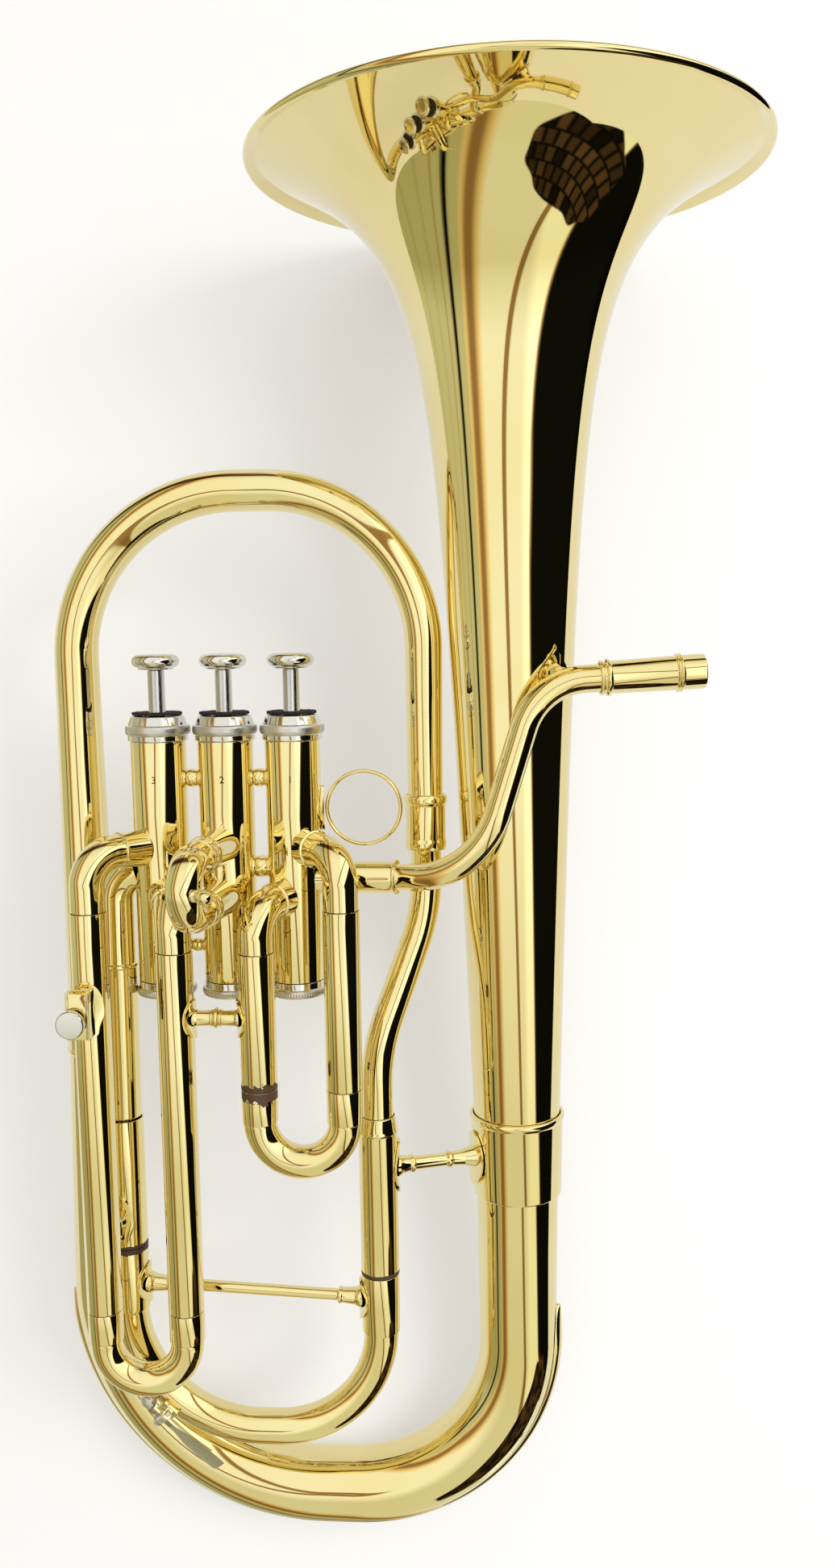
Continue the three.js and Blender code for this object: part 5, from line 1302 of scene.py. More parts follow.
@dataclass
class Valves:
    """The three valves with casings, caps, felts, pistons, buttons and springs."""

    middle_side: float = -113.0
    spacing: float = 26.9
    front: float = 20.0
    radius: float = 11.0
    top: float = 224.0
    bottom: float = 320.5
    spring_drops: tuple[float, float] = (285.9, 324.6)
    spring_turns: int = 7
    spring_steps: int = 16
    spring_radius: float = 6.6
    spring_wire: float = 0.55
    spring_pressed: float = 0.6
    number_size: float = 3.9
    number_drop: float = 240.0
    number_depth: float = 0.05
    number_weight: float = 0.04

    def side(self, number: int) -> float:
        """Returns the side of a valve, counted from the bell."""
        return self.middle_side + (2 - number) * self.spacing

    def build(self) -> None:
        """Makes all three valves and what joins them."""
        for number, body in ((1, Body.VALVE_1), (2, Body.VALVE_2), (3, Body.VALVE_3)):
            self.build_casing(number)
            self.build_caps(number)
            self.build_piston(number, body)
            self.build_spring(number)
            self.build_number(number)

    def build_casing(self, number: int) -> None:
        """Makes a casing, and on the middle one the balls and passages to its neighbours."""
        side = self.side(number)
        shape = Shape().turned_at_drops([
            (9.8, self.bottom), (9.8, self.top), (self.radius, self.top), (self.radius, self.bottom),
        ], side, self.front, soft=0.2)
        if number == 2:
            for left in (self.side(3), self.side(2)):
                for drop, ball in ((239.0, 3.8), (307.0, 2.9), (275.0, 4.6)):
                    seat = self.radius - 0.4
                    start = at(left + seat, drop, self.front)
                    end = at(left + self.spacing - seat, drop, self.front)
                    neck, middle = ball * 0.72, (self.spacing - 2 * seat) / 2
                    cups = [(0, neck + 1.1), (0.5, neck + 0.9), (middle - ball * 0.75, neck * 0.85)]
                    curve = [
                        (middle + ball * math.sin(turn), ball * math.cos(turn))
                        for turn in (math.radians(angle) for angle in range(-44, 45, 8))
                    ]
                    mirrored = [(2 * middle - mark, radius) for mark, radius in reversed(cups)]
                    shape.rod(start, end, [*cups, *curve, *mirrored], soft=0.1, tubes=(seat, seat))
        shape.piece(f"casing_tube_{number}", LACQUER, [f"casing_{number}"])

    def build_caps(self, number: int) -> None:
        """Makes the knurled top cap, its felt and the bottom cap of one valve."""
        side, front = self.side(number), self.front
        cap = Shape().turned_at_drops([
            (3.7, 213.9), (10.0, 213.9), (10.5, 214.2), (11.7, 217.5), (11.9, 217.7), (12.5, 217.9),
            (12.8, 218.6),
            (12.8, 220.3), (12.4, 221.2), (11.9, 221.5), (11.9, 223.7), (9.8, 223.7), (9.8, 216.1),
            (3.7, 216.1),
        ], side, front, sides=144, soft=0.25)
        self.knurl(cap, side, 12.45, 0.18)
        self.dent(cap, side)
        cap.mark(1, lambda centre: 217.8 < -centre.y < 221.5
            and math.hypot(centre.x - side, centre.z - front) > 11.95)
        cap.piece(
            f"top_cap_shell_{number}", NICKEL, [f"top_cap_{number}"], slot="nickel", crease=50,
            trims=[SATIN_NICKEL]
        )
        felt = Shape().turned_at_drops([
            (3.7, 212.5), (9.7, 212.5), (9.7, 213.6), (3.7, 213.6),
        ], side, front, sides=96, soft=0.3)
        for vert in felt.mesh.verts:
            away = Vector((vert.co.x - side, 0, vert.co.z - front))
            if away.length > 8:
                vert.co += (
                    away.normalized() * 0.7 * noise.noise(vert.co * 1.7)
                    + UP * 0.25 * noise.noise(vert.co * 1.1)
                )
        felt.piece(f"felt_washer_{number}", FELT, [f"cap_felt_{number}"], slot="felt")
        low = Shape().turned_at_drops([
            (2.0, 327), (2.0, 325.4), (9.8, 325.4), (9.8, 320.8), (11.0, 320.8), (11.0, 323.4), (11.6, 323.7),
            (12.0, 324.4), (12.0, 325.8), (11.6, 326.5), (11.0, 327),
        ], side, front, sides=144, soft=0.2)
        self.knurl(low, side, 11.75, 0.25)
        low.mark(1, lambda centre: math.hypot(centre.x - side, centre.z - front) > 11.4)
        low.piece(
            f"bottom_cap_shell_{number}", NICKEL, [f"bottom_cap_{number}"], slot="nickel", crease=50,
            trims=[SATIN_NICKEL],
        )

    def dent(self, shape: Shape, side: float) -> None:
        """Turns a cap's cone and band into many narrow flats, as a spun cap's wrench marks are.

        Args:
            shape: The cap.
            side: The side of its axis.
        """
        for vert in shape.mesh.verts:
            away = Vector((vert.co.x - side, 0, vert.co.z - self.front))
            if -vert.co.y < 217.4 and away.length > 9.9:
                turn = math.atan2(away.z, away.x)
                flat = math.radians(15)
                vert.co -= away.normalized() * 0.10 * (1 - math.cos((turn % flat - flat / 2) * 12)) / 2

    def knurl(self, shape: Shape, side: float, beyond: float, depth: float) -> None:
        """Presses upright grooves into the widest ring of a turned shape.

        Args:
            shape: The shape, turned with an even number of sides.
            side: The side of its axis.
            beyond: Only points further out than this radius are pressed.
            depth: How deep the grooves are.
        """
        for vert in shape.mesh.verts:
            away = Vector((vert.co.x - side, 0, vert.co.z - self.front))
            if away.length > beyond:
                step = round(math.atan2(away.z, away.x) / (2 * math.pi / 144))
                if step % 2:
                    vert.co -= away.normalized() * depth

    def build_piston(self, number: int, body: Body) -> None:
        """Makes the piston with its stem and the button of one valve."""
        side, front = self.side(number), self.front
        Shape().turned_at_drops([
            (0, 193.3), (2.2, 193.3), (2.2, 196.0), (3.3, 196.0), (3.3, 217.1), (8.7, 217.1), (9.5, 217.9),
            (9.5, 285.1), (0, 285.1),
        ], side, front, closed=False).piece(
            f"piston_body_{number}", PISTON, [f"piston_{number}"], body, "piston"
        )
        top, bottom, wide = 189.7, 195.7, 9.35
        button = [(0.0, top + 0.9), (wide * 0.55, top + 0.75), (wide * 0.72, top + 0.2)]
        button += [
            (wide - 2.55 + 2.55 * math.cos(turn), (top + bottom) / 2 - 0.25 - 2.65 * math.sin(turn))
            for turn in (math.radians(angle) for angle in range(84, -85, -12))
        ]
        button += [(wide * 0.74, bottom - 0.15), (wide * 0.72, bottom), (2.6, bottom), (2.6, 193.0),
            (0, 193.0)]
        Shape().turned_at_drops(button, side, front, sides=96, closed=False, soft=0.12).piece(
            f"button_cap_{number}", NICKEL, [f"button_{number}"], body, "nickel", crease=45
        )

    def build_spring(self, number: int) -> None:
        """Makes the coil spring under one piston."""
        side, front = self.side(number), self.front
        top, bottom = self.spring_drops
        turns, steps, radius, wire = self.spring_turns, self.spring_steps, self.spring_radius, self.spring_wire
        path = Route([
            (at(side + radius * math.cos(turn), top + (bottom - top) * turn / (2 * math.pi * turns),
                front + radius * math.sin(turn)), wire)
            for turn in (2 * math.pi * step / steps for step in range(turns * steps + 1))
        ])
        coil = Shape().swept(
            path, [(0, wire), (path.length, wire)], sides=8, facing=UP, soft=0.0
        )
        piece = coil.piece(f"spring_coil_{number}", WIRE, [f"valve_spring_{number}"], Body.HORN, "steel")
        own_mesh(piece)

    def build_number(self, number: int) -> None:
        """Stamps the valve's number on its casing."""
        curve = bpy.data.curves.new(f"number_{number}", "FONT")
        curve.body = str(number)
        curve.size = self.number_size
        curve.align_x = "CENTER"
        curve.extrude = self.number_depth
        curve.offset = self.number_weight
        maker = bpy.data.objects.new("number_maker", curve)
        bpy.context.scene.collection.objects.link(maker)
        shown = maker.evaluated_get(bpy.context.evaluated_depsgraph_get())
        data = bpy.data.meshes.new_from_object(shown)
        part = bmesh.new()
        part.from_mesh(data)
        bpy.data.objects.remove(maker)
        bpy.data.curves.remove(curve)
        bpy.data.meshes.remove(data)
        bmesh.ops.subdivide_edges(part, edges=part.edges, cuts=1)
        reach = self.radius + 0.03
        for vert in part.verts:
            angle = (vert.co.x + 0.4) / reach
            out = reach + vert.co.z
            vert.co = at(self.side(number), self.number_drop, self.front) + Vector(
                (out * math.sin(angle), vert.co.y, out * math.cos(angle))
            )
        Shape().take(part).piece(f"stamped_number_{number}", STAMP)


@dataclass
class LongSlide:
    """The first or the third valve slide: knuckles, sleeves and the sliding crook."""

    number: int
    valve: float
    upper: tuple[float, float, float]
    lower: tuple[float, float, float]
    sleeve_end: float
    ring_end: float
    crook_drop: float
    crook_bend: float
    body: Body
    greased: bool = False
    front: float = 46.0
    collar: float = 17.0

    def build(self) -> None:
        """Makes the knuckles, the sleeves and the crook."""
        for label, (side, port, ring) in (("upper", self.upper), ("lower", self.lower)):
            route = Route([
                (at(self.valve, port, 20), 0), (at(side, port, self.front), 12.0),
                (at(side, ring, self.front), 0),
            ])
            Shape().swept(route, [
                (9.5, 7.3), (self.collar, 7.2), (self.collar + 0.2, 7.5), (self.collar + 0.8, 7.5),
                (self.collar + 1.0, 6.8), (route.length, 6.8),
            ], turn=3, soft=0.15, meets=[
                (at(self.valve, port, 20), 10.6, at(side, port, self.front) - at(self.valve, port, 20)),
            ]).piece(f"knuckle_{self.number}_{label}", LACQUER, [f"slide_{self.number}_knuckle_{label}"])
            dirty = self.greased and label == "lower"
            Shape().turned_at_drops([
                (6.6, self.sleeve_end), (6.6, ring + 0.3), (7.1, ring + 0.3), (7.1, self.sleeve_end),
            ], side, self.front, soft=0.15).piece(
                f"outer_slide_{self.number}_{label}", GREASED_FIRST if dirty else LACQUER,
                [f"slide_{self.number}_sleeve_{label}"],
            )
        self.build_crook()

    def build_crook(self) -> None:
        """Makes the crook with its two legs and their rings."""
        right, left = sorted((self.upper, self.lower), key=lambda leg: -leg[0])
        right_top, left_top = right[2] + 8, left[2] + 8
        route = Route([
            (at(right[0], right_top, self.front), 0),
            (at(right[0], self.crook_drop, self.front), self.crook_bend),
            (at(left[0], self.crook_drop, self.front), self.crook_bend),
            (at(left[0], left_top, self.front), 0),
        ])
        total = route.length
        profile: Profile = [(0, 6.3)]
        start, end = self.sleeve_end + 0.3 - right_top, self.ring_end - right_top
        profile += [(start, 6.3), (start, 7.0), (end, 7.0), (end, 6.3), (end + 0.35, 6.3), (end + 0.35, 6.55)]
        start, end = total - (self.ring_end - left_top), total - (self.sleeve_end + 0.3 - left_top)
        profile += [(start - 0.35, 6.55), (start - 0.35, 6.3), (start, 6.3), (start, 7.0), (end, 7.0),
            (end, 6.3)]
        profile.append((total, 6.3))
        Shape().swept(route, profile, sides=48, turn=3.5, soft=0.15).piece(
            f"crook_{self.number}", LACQUER, [f"slide_{self.number}_crook"], self.body
        )
        if self.greased:
            Shape().turned_at_drops([
                (6.9, self.sleeve_end + 0.4), (7.02, self.sleeve_end + 0.4), (7.02, self.sleeve_end + 7),
                (6.9, self.sleeve_end + 7),
            ], left[0], self.front, soft=0.0).piece(f"grease_ring_{self.number}", GREASED_FIRST, (),
            self.body)


@dataclass
class SecondSlide:
    """The short second valve slide with its pull knob."""

    upper: float = 265.0
    lower: float = 285.6
    lean: float = -6.2
    sleeve_front: float = 52.0
    ring_front: float = 56.5
    crook_front: float = 73.0
    side: float = -113.0

    def point(self, drop: float, front: float) -> Vector:
        """Returns the place on a leg's middle at a front."""
        share = (front - 20) / (self.crook_front - 20)
        return at(self.side + self.lean * share, drop, front)

    def build(self) -> None:
        """Makes the two sleeves and the crook."""
        for label, port in (("upper", self.upper), ("lower", self.lower)):
            axis, end = self.point(port, 20), self.point(port, self.sleeve_front)
            start = axis.lerp(end, 10.6 / (end - axis).length)
            length = (end - start).length
            Shape().rod(start, end, [
                (0, 7.3), (length - 3.2, 7.05), (length - 2.9, 7.35), (length - 2.1, 7.35),
                (length - 1.8, 7.1),
                (length, 7.1),
            ], soft=0.15, tubes=(10.6, 0.0)).piece(f"outer_slide_2_{label}", LACQUER,
            [f"slide_2_sleeve_{label}"])
        bend = (self.lower - self.upper) / 2
        inset = 36.0
        route = Route([
            (self.point(self.upper, inset), 0), (self.point(self.upper, self.crook_front), bend),
            (self.point(self.lower, self.crook_front), bend), (self.point(self.lower, inset), 0),
        ])
        total = route.length
        stretch = route.pieces[0][1] / (self.crook_front - inset - bend)
        start = (self.sleeve_front + 0.3 - inset) * stretch
        end = (self.ring_front - inset) * stretch
        profile = [
            (0, 6.3), (start, 6.3), (start, 6.95), (end, 6.95), (end, 6.5), (total - end, 6.5),
            (total - end, 6.95),
            (total - start, 6.95), (total - start, 6.3), (total, 6.3),
        ]
        shape = Shape().swept(route, profile, sides=48, facing=UP, turn=4, soft=0.15)
        middle = self.point((self.upper + self.lower) / 2, self.crook_front)
        pull = Vector((math.sin(math.radians(53)), 0, math.cos(math.radians(53))))
        shape.rod(middle + pull * 5.8, middle + pull * 16, [
            (0, 2.6), (0.9, 2.2), (1.6, 1.5), (3.6, 1.3),
            *[(6.0 + 2.7 * math.sin(t), 2.75 * math.cos(t))
                for t in (math.radians(a) for a in range(-60, 91, 10))][:-1],
            (8.7, 0.2),
        ], soft=0.1)
        shape.piece("crook_2", LACQUER, ["slide_2_crook"], Body.SECOND_SLIDE)


@dataclass
class Leadpipe:
    """The mouthpiece receiver, the leadpipe and the saddle that carries it."""

    receiver_end: Vector = field(default_factory=lambda: at(74.5, 198.6, 24))
    corner: Vector = field(default_factory=lambda: at(10.5, 202, 29.8))
    receiver_length: float = 40.5
    inlet_drop: float = 279.5
    radius: float = 5.4

    def build(self, bell: Bell, valves: Valves) -> None:
        """Makes the three pieces.

        Args:
            bell: The bell that the saddle sits on.
            valves: The valves that the pipe leads to.
        """
        run = (self.corner - self.receiver_end).normalized()
        length = self.receiver_length
        Shape().turned([
            (5.6, 0), (6.45, 0), (6.75, 0.35), (6.75, 8.6), (6.95, 8.8), (7.5, 9.2), (7.5, 9.8), (7.05, 10.1),
            (7.45, 10.4), (7.45, 10.9), (6.95, 11.2), (6.7, 11.4), (6.3, length - 4.2), (6.9, length - 4.0),
            (7.25, length - 3.4), (7.25, length - 2.6), (6.5, length - 2.2), (6.4, length - 1.2),
            (6.75, length - 0.9),
            (6.6, length), (5.7, length), (5.7, length - 8), (4.8, length - 8), (5.2, 18),
        ], 64, True, 0.2, aimed(self.receiver_end, run)).piece("mouthpiece_receiver", LACQUER, ["receiver"],
        crease=40)

        start = self.receiver_end + run * (length - 7.7)
        valve = at(valves.side(1), self.inlet_drop, valves.front)
        route = Route([
            (start, 0), (self.corner, 26.0), (at(-13, 278.5, 32.5), 38.0),
            (at(-45, self.inlet_drop, valves.front), 24.0),
            (valve, 0),
        ])
        total = route.length
        ring = total - (-45 - valves.side(1))
        Shape().swept(route, [
            (0, self.radius), (ring, self.radius + 0.1), (ring, 6.7), (ring + 0.4, 7.0), (ring + 1.2, 7.0),
            (ring + 1.6, 6.4), (total - 18, 6.5), (total - 7, 7.0),
        ], turn=2.5, soft=0.2, meets=[(valve, 10.6, RIGHT)]).piece("lead_tube", LACQUER, ["leadpipe"])
        self.build_saddle(bell)

    def build_saddle(self, bell: Bell) -> None:
        """Makes the leaf-shaped plate on the bell and the web up to the pipe.

        Args:
            bell: The bell that it sits on.
        """
        drop = 199.5
        share = (self.receiver_end.x - 25) / (self.receiver_end.x - self.corner.x)
        on_pipe = self.receiver_end.lerp(self.corner, share)
        axis = at(math.tan(bell.lean) * drop, drop)
        outward = (on_pipe - axis)
        outward.y = 0
        outward.normalize()
        shape = Shape().hugging_plate(
            axis, bell.radius(drop), outward, 20, 15, 0.9, 0.85,
            lambda height: bell.radius(drop - height) + 0.25
        )
        base = axis + outward * (bell.radius(drop) + 0.4)
        reach = (on_pipe - base).length
        shape.rod(base, on_pipe, [(0, 4.6), (reach * 0.25, 3.7), (reach * 0.7, 3.2)], soft=0.3)
        shape.piece("lead_saddle", LACQUER, ["leadpipe_saddle"])


@dataclass
class FingerRing:
    """The round finger ring and its foot on the first casing."""

    drop: float = 251.3
    radius: float = 14.6
    half_band: float = 0.9

    def build(self, valves: Valves) -> None:
        """Makes the ring.

        Args:
            valves: The valves whose first casing carries it.
        """
        edge = valves.side(1) + valves.radius
        outer = self.radius + self.half_band
        centre = at(edge + 0.3 + 1.2 + outer, self.drop, valves.front)
        section = [
            (self.radius + self.half_band * math.cos(turn), 1.5 * math.sin(turn))
            for turn in (math.radians(angle) for angle in range(0, 360, 20))
        ]
        place = Matrix.Translation(centre) @ Matrix.Rotation(math.pi / 2, 4, "X")
        shape = Shape().turned(section, 96, True, 0.0, place)
        shape.hugging_plate(
            at(valves.side(1), self.drop, valves.front), valves.radius + 0.1, RIGHT, 18, 6.5, 1.3, 0.5
        )
        shape.piece("finger_hook_ring", LACQUER, ["finger_ring"])


@dataclass
class Braces:
    """The fixed braces between tubes."""

    def build(self, bell: Bell, slide: TuningSlide) -> None:
        """Makes the three braces.

        Args:
            bell: The bell whose ferrule carries one end.
            slide: The tuning slide whose sleeves carry the others.
        """
        left = at(slide.right_side, 399.6, slide.front)
        stem = bell.radius(bell.ferrule_top) + 1.2
        right = at(math.tan(bell.lean) * 401.4, 401.4)
        self.turned_brace("bell_stay", "bell_brace", left, slide.sleeve_radius, right, stem, (23, 14.6), [
            (0.0, 4.6), (1.4, 3.9), (4.6, 3.2), (5.4, 3.9), (6.2, 3.9), (6.8, 2.9), (0.62, -2.7),
            (0.65, -3.6),
            (0.68, -3.6), (0.71, -2.9), (0.86, -3.4), (1.0, -4.6),
        ])
        self.turned_brace("slide_stay", "slide_brace", at(-130.3, 329.8, 46), 7.1, at(-98.4, 329.8, 46), 7.1,
                          (15.6, 13.8), [
            (0.0, 3.6), (1.0, 3.2), (0.36, -2.95), (0.38, -3.4), (0.42, -3.4), (0.44, -2.9), (0.46, -3.9),
            (0.5, -4.1), (0.54, -3.9), (0.56, -2.9), (0.58, -3.4), (0.62, -3.4), (0.64, -2.95), (0.94, -3.2),
            (1.0, -3.6),
        ])
        self.turned_brace("sleeve_stay", "sleeve_post", at(slide.left_side, 420.5, slide.front),
            slide.sleeve_radius,
                          at(-163.2, 420.5, 46), 7.1, (21, 11),
                          [(0.0, 3.4), (0.25, -2.4), (0.75, -2.4), (1.0, -3.4)])

    @staticmethod
    def turned_brace(
        name: str, node: str, start: Vector, start_radius: float, end: Vector, end_radius: float,
        plate: tuple[float, float], marks: Profile,
    ) -> None:
        """Makes one brace.

        Args:
            name: The piece's name.
            node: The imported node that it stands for.
            start: Middle of the first tube.
            start_radius: That tube's radius.
            end: Middle of the second tube.
            end_radius: That tube's radius.
            plate: Length and width of the plates at its ends.
            marks: Outside as [distance, radius], where a negative radius marks a share of the length.
        """
        run = (end - start).normalized()
        seats = (start_radius + 0.6, end_radius + 0.6)
        first, last = start + run * seats[0], end - run * seats[1]
        length = (last - first).length
        turned = [(mark * length if radius < 0 else mark, abs(radius)) for mark, radius in marks]
        shape = Shape().rod(first, last, turned, soft=0.2, tubes=seats)
        level = Vector((run.x, 0, run.z)).normalized()
        shape.hugging_plate(start, start_radius + 0.15, level, *plate)
        shape.hugging_plate(end, end_radius + 0.15, -level, *plate)
        shape.piece(name, LACQUER, [node])


@dataclass
class LyreBox:
    """The music clip box on the third slide and its thumb screw."""

    side: float = -164.2
    drop: float = 325.0
    front: float = 46.0
    tube: float = 7.1

    def build(self) -> None:
        """Makes the box and the screw."""
        back = self.front + self.tube + 0.3 + 0.45
        middle = back + 3.7
        shape = Shape()
        shape.hugging_plate(at(-163.2, self.drop, self.front), self.tube + 0.15, FRONT, 23, 13)
        wall = 1.6
        for sign in (-1, 1):
            shape.box(at(self.side + sign * 3.65, self.drop, middle), Vector((wall, 18, 7.4)), 0.35)
        shape.box(at(self.side, self.drop, back + 0.7), Vector((8.6, 18, 1.4)), 0.3)
        shape.box(at(self.side, self.drop, back + 6.7), Vector((8.6, 18, 1.4)), 0.3)
        shape.piece("lyre_holder", LACQUER, ["lyre_box"])
        head = back + 7.4 + 1.6
        screw_side, screw_drop = -166.0, 327.0
        place = Matrix.Translation(at(screw_side, screw_drop, head)) @ Matrix.Rotation(math.pi / 2, 4, "X")
        screw = Shape().turned([
            (0, -7), (1.6, -7), (1.6, 0), (4.9, 0), (5.4, 0.4), (5.5, 1.0), (5.5, 2.0), (5.4, 2.6),
            (5.0, 3.0), (0, 3.0),
        ], 96, False, 0.2, place)
        screw.piece("lyre_thumb_screw", NICKEL, ["lyre_screw"], Body.LYRE_CLAMP, "nickel", crease=45)


# Studio


class Tone(Enum):
    """What the polished metal mirrors: colours of the room round the horn, where 1 is white."""

    SHEET = (0.92, 0.91, 0.90)
    WHITE = (1.0, 1.0, 1.0)
    WINDOW = (1.36, 1.42, 1.46)
    WALL = (1.06, 1.09, 1.08)
    PALE = (0.86, 0.85, 0.80)
    SOFT = (0.70, 0.685, 0.56)
    GREY_WALL = (0.60, 0.60, 0.42)
    GOLD_SHADE = (0.42, 0.37, 0.26)
    BRIGHT_WOOD = (0.95, 0.72, 0.40)
    WOOD = (0.34, 0.20, 0.09)
    BROWN = (0.10, 0.055, 0.025)
    CARD = (0.004, 0.004, 0.003)


@dataclass
class Studio:
    """The pale floor, the soft light and the camera."""

    across: tuple[tuple[float, Tone], ...] = (
        (-180, Tone.PALE), (-125, Tone.PALE), (-118, Tone.GREY_WALL), (-104.5, Tone.GREY_WALL),
        (-103.5, Tone.GOLD_SHADE), (-102.5, Tone.GREY_WALL), (-93, Tone.GREY_WALL), (-92, Tone.GOLD_SHADE),
        (-91, Tone.GREY_WALL), (-83, Tone.GREY_WALL), (-82, Tone.WOOD), (-81, Tone.GREY_WALL),
        (-76, Tone.GREY_WALL), (-74, Tone.CARD), (-71.5, Tone.CARD), (-70, Tone.GREY_WALL),
        (-63, Tone.GREY_WALL), (-60, Tone.BRIGHT_WOOD), (-56, Tone.WOOD), (-51, Tone.WOOD),
        (-46, Tone.BRIGHT_WOOD), (-41, Tone.WALL), (8, Tone.WALL), (18, Tone.WINDOW), (100, Tone.WINDOW),
        (112, Tone.GOLD_SHADE), (160, Tone.GOLD_SHADE), (180, Tone.PALE),
    )
    aslant: tuple[tuple[float, Tone], ...] = (
        (-180, Tone.WHITE), (-17, Tone.WHITE), (-15.5, Tone.WOOD), (-11, Tone.WOOD), (-9.5, Tone.WHITE),
        (25, Tone.WHITE), (27.5, Tone.WOOD), (30, Tone.CARD), (180, Tone.CARD),
    )
    along: tuple[tuple[float, Tone], ...] = (
        (-180, Tone.PALE), (-105, Tone.SOFT), (-38, Tone.SOFT), (-20, Tone.WHITE), (45, Tone.WHITE),
        (66, Tone.PALE), (73, Tone.BROWN), (84, Tone.BROWN), (90, Tone.SHEET), (180, Tone.SHEET),
    )
    brightest: float = 2.0
    slants: tuple[tuple[float, float], ...] = ((0.3, 0.0), (1.0, 0.2))
    shelf: tuple[float, float, float] = (0.52, -0.853, 0.03)
    shelf_edge: float = 0.975
    fray_scale: float = 2.4
    fray_depth: float = 0.12
    fray_soft: float = 0.006
    goods: tuple[tuple[str, float], ...] = (
        ("Scale", 2.2), ("Mortar Size", 0.05), ("Mortar Smooth", 1.0), ("Brick Width", 0.16),
        ("Row Height", 0.3),
    )
    backdrop: Colour = (0.90, 0.885, 0.89)
    floor_half: tuple[float, float] = (1.1, 0.95)
    floor_gap: float = 0.0002
    sheet_centre: tuple[float, float] = (0.015, 0.34)
    sheet_half: tuple[float, float] = (0.315, 0.64)
    sheet_tones: tuple[Colour, Colour] = ((0.89, 0.885, 0.885), (0.93, 0.92, 0.925))
    sheet_roughness: float = 0.9
    sheet_specular: float = 0.1
    weave_scale: float = 700.0
    seen_glow: Colour = (0.95, 0.945, 0.95)
    mirrored_glow: Colour = (0.82, 0.83, 0.84)
    seen_share: float = 0.45
    mirrored_share: float = 0.8
    lamp_size: float = 0.9
    lamp_power: float = 17.0
    lamp_colour: Colour = (1.0, 0.98, 0.96)
    lamp_place: tuple[float, float, float] = (1.1, 0.25, 1.25)
    lamp_aim: tuple[float, float, float] = (0.0, 0.0, 0.05)
    sensor_width: float = 36.0
    focal_length: float = 29.63
    clip: tuple[float, float] = (0.01, 20.0)

    def build(self) -> None:
        """Makes the floor, the light and the camera."""
        self.build_floor()
        self.build_world()
        self.build_lamps()
        self.build_camera()

    def build_floor(self) -> None:
        """Makes the floor sheet."""
        part = bmesh.new()
        bmesh.ops.create_grid(part, x_segments=2, y_segments=2, size=1.0)
        bmesh.ops.scale(part, vec=(*self.floor_half, 1.0), verts=part.verts)
        bmesh.ops.translate(part, vec=(0, 0, -self.floor_gap), verts=part.verts)
        data = bpy.data.meshes.new("floor")
        part.to_mesh(data)
        part.free()
        floor = bpy.data.objects.new("floor", data)
        bpy.context.scene.collection.objects.link(floor)
        data.materials.append(self.floor_material())

    def floor_material(self) -> bpy.types.Material:
        """Makes the sheet: woven and pale, with a little glow, and clear to mirrored rays beyond its edge.

        Returns:
            The material.
        """
        material, shader, place = start_material("pale_sheet")
        tree = material.node_tree
        weave = noisy(tree, place, self.weave_scale)
        feed(tree, shader.inputs["Base Color"], mixed(tree, weave, *self.sheet_tones))
        shader.inputs["Roughness"].default_value = self.sheet_roughness
        shader.inputs["Specular IOR Level"].default_value = self.sheet_specular
        ray = tree.nodes.new("ShaderNodeLightPath")
        mirrored = ray.outputs["Is Glossy Ray"]
        glow = tree.nodes.new("ShaderNodeEmission")
        feed(tree, glow.inputs["Color"], mixed(tree, mirrored, self.seen_glow, self.mirrored_glow))
        seen = maths(tree, "MULTIPLY", ray.outputs["Is Camera Ray"], self.seen_share)
        share = maths(tree, "MULTIPLY_ADD", mirrored, self.mirrored_share, seen)
        sheet = mixed_shaders(tree, share, shader.outputs[0], glow.outputs[0])
        clear = tree.nodes.new("ShaderNodeBsdfTransparent").outputs[0]
        ended = mixed_shaders(tree, self.past_edge(tree, place, mirrored), sheet, clear)
        feed(tree, tree.nodes["Material Output"].inputs["Surface"], ended)
        return material

    def past_edge(self, tree: bpy.types.NodeTree, place: Socket, mirrored: Socket) -> Socket:
        """Marks where mirrored rays pass beyond the edge of the sheet into the room.

        Args:
            tree: The floor material's nodes.
            place: The object coordinates.
            mirrored: One for mirrored rays, else zero.

        Returns:
            One beyond the edge for mirrored rays, else zero.
        """
        split = tree.nodes.new("ShaderNodeSeparateXYZ")
        feed(tree, split.inputs[0], place)
        near = [
            maths(tree, "COMPARE", split.outputs[axis], self.sheet_centre[axis], self.sheet_half[axis])
            for axis in range(2)
        ]
        outside = maths(tree, "SUBTRACT", 1.0, maths(tree, "MULTIPLY", *near))
        return maths(tree, "MULTIPLY", outside, mirrored)

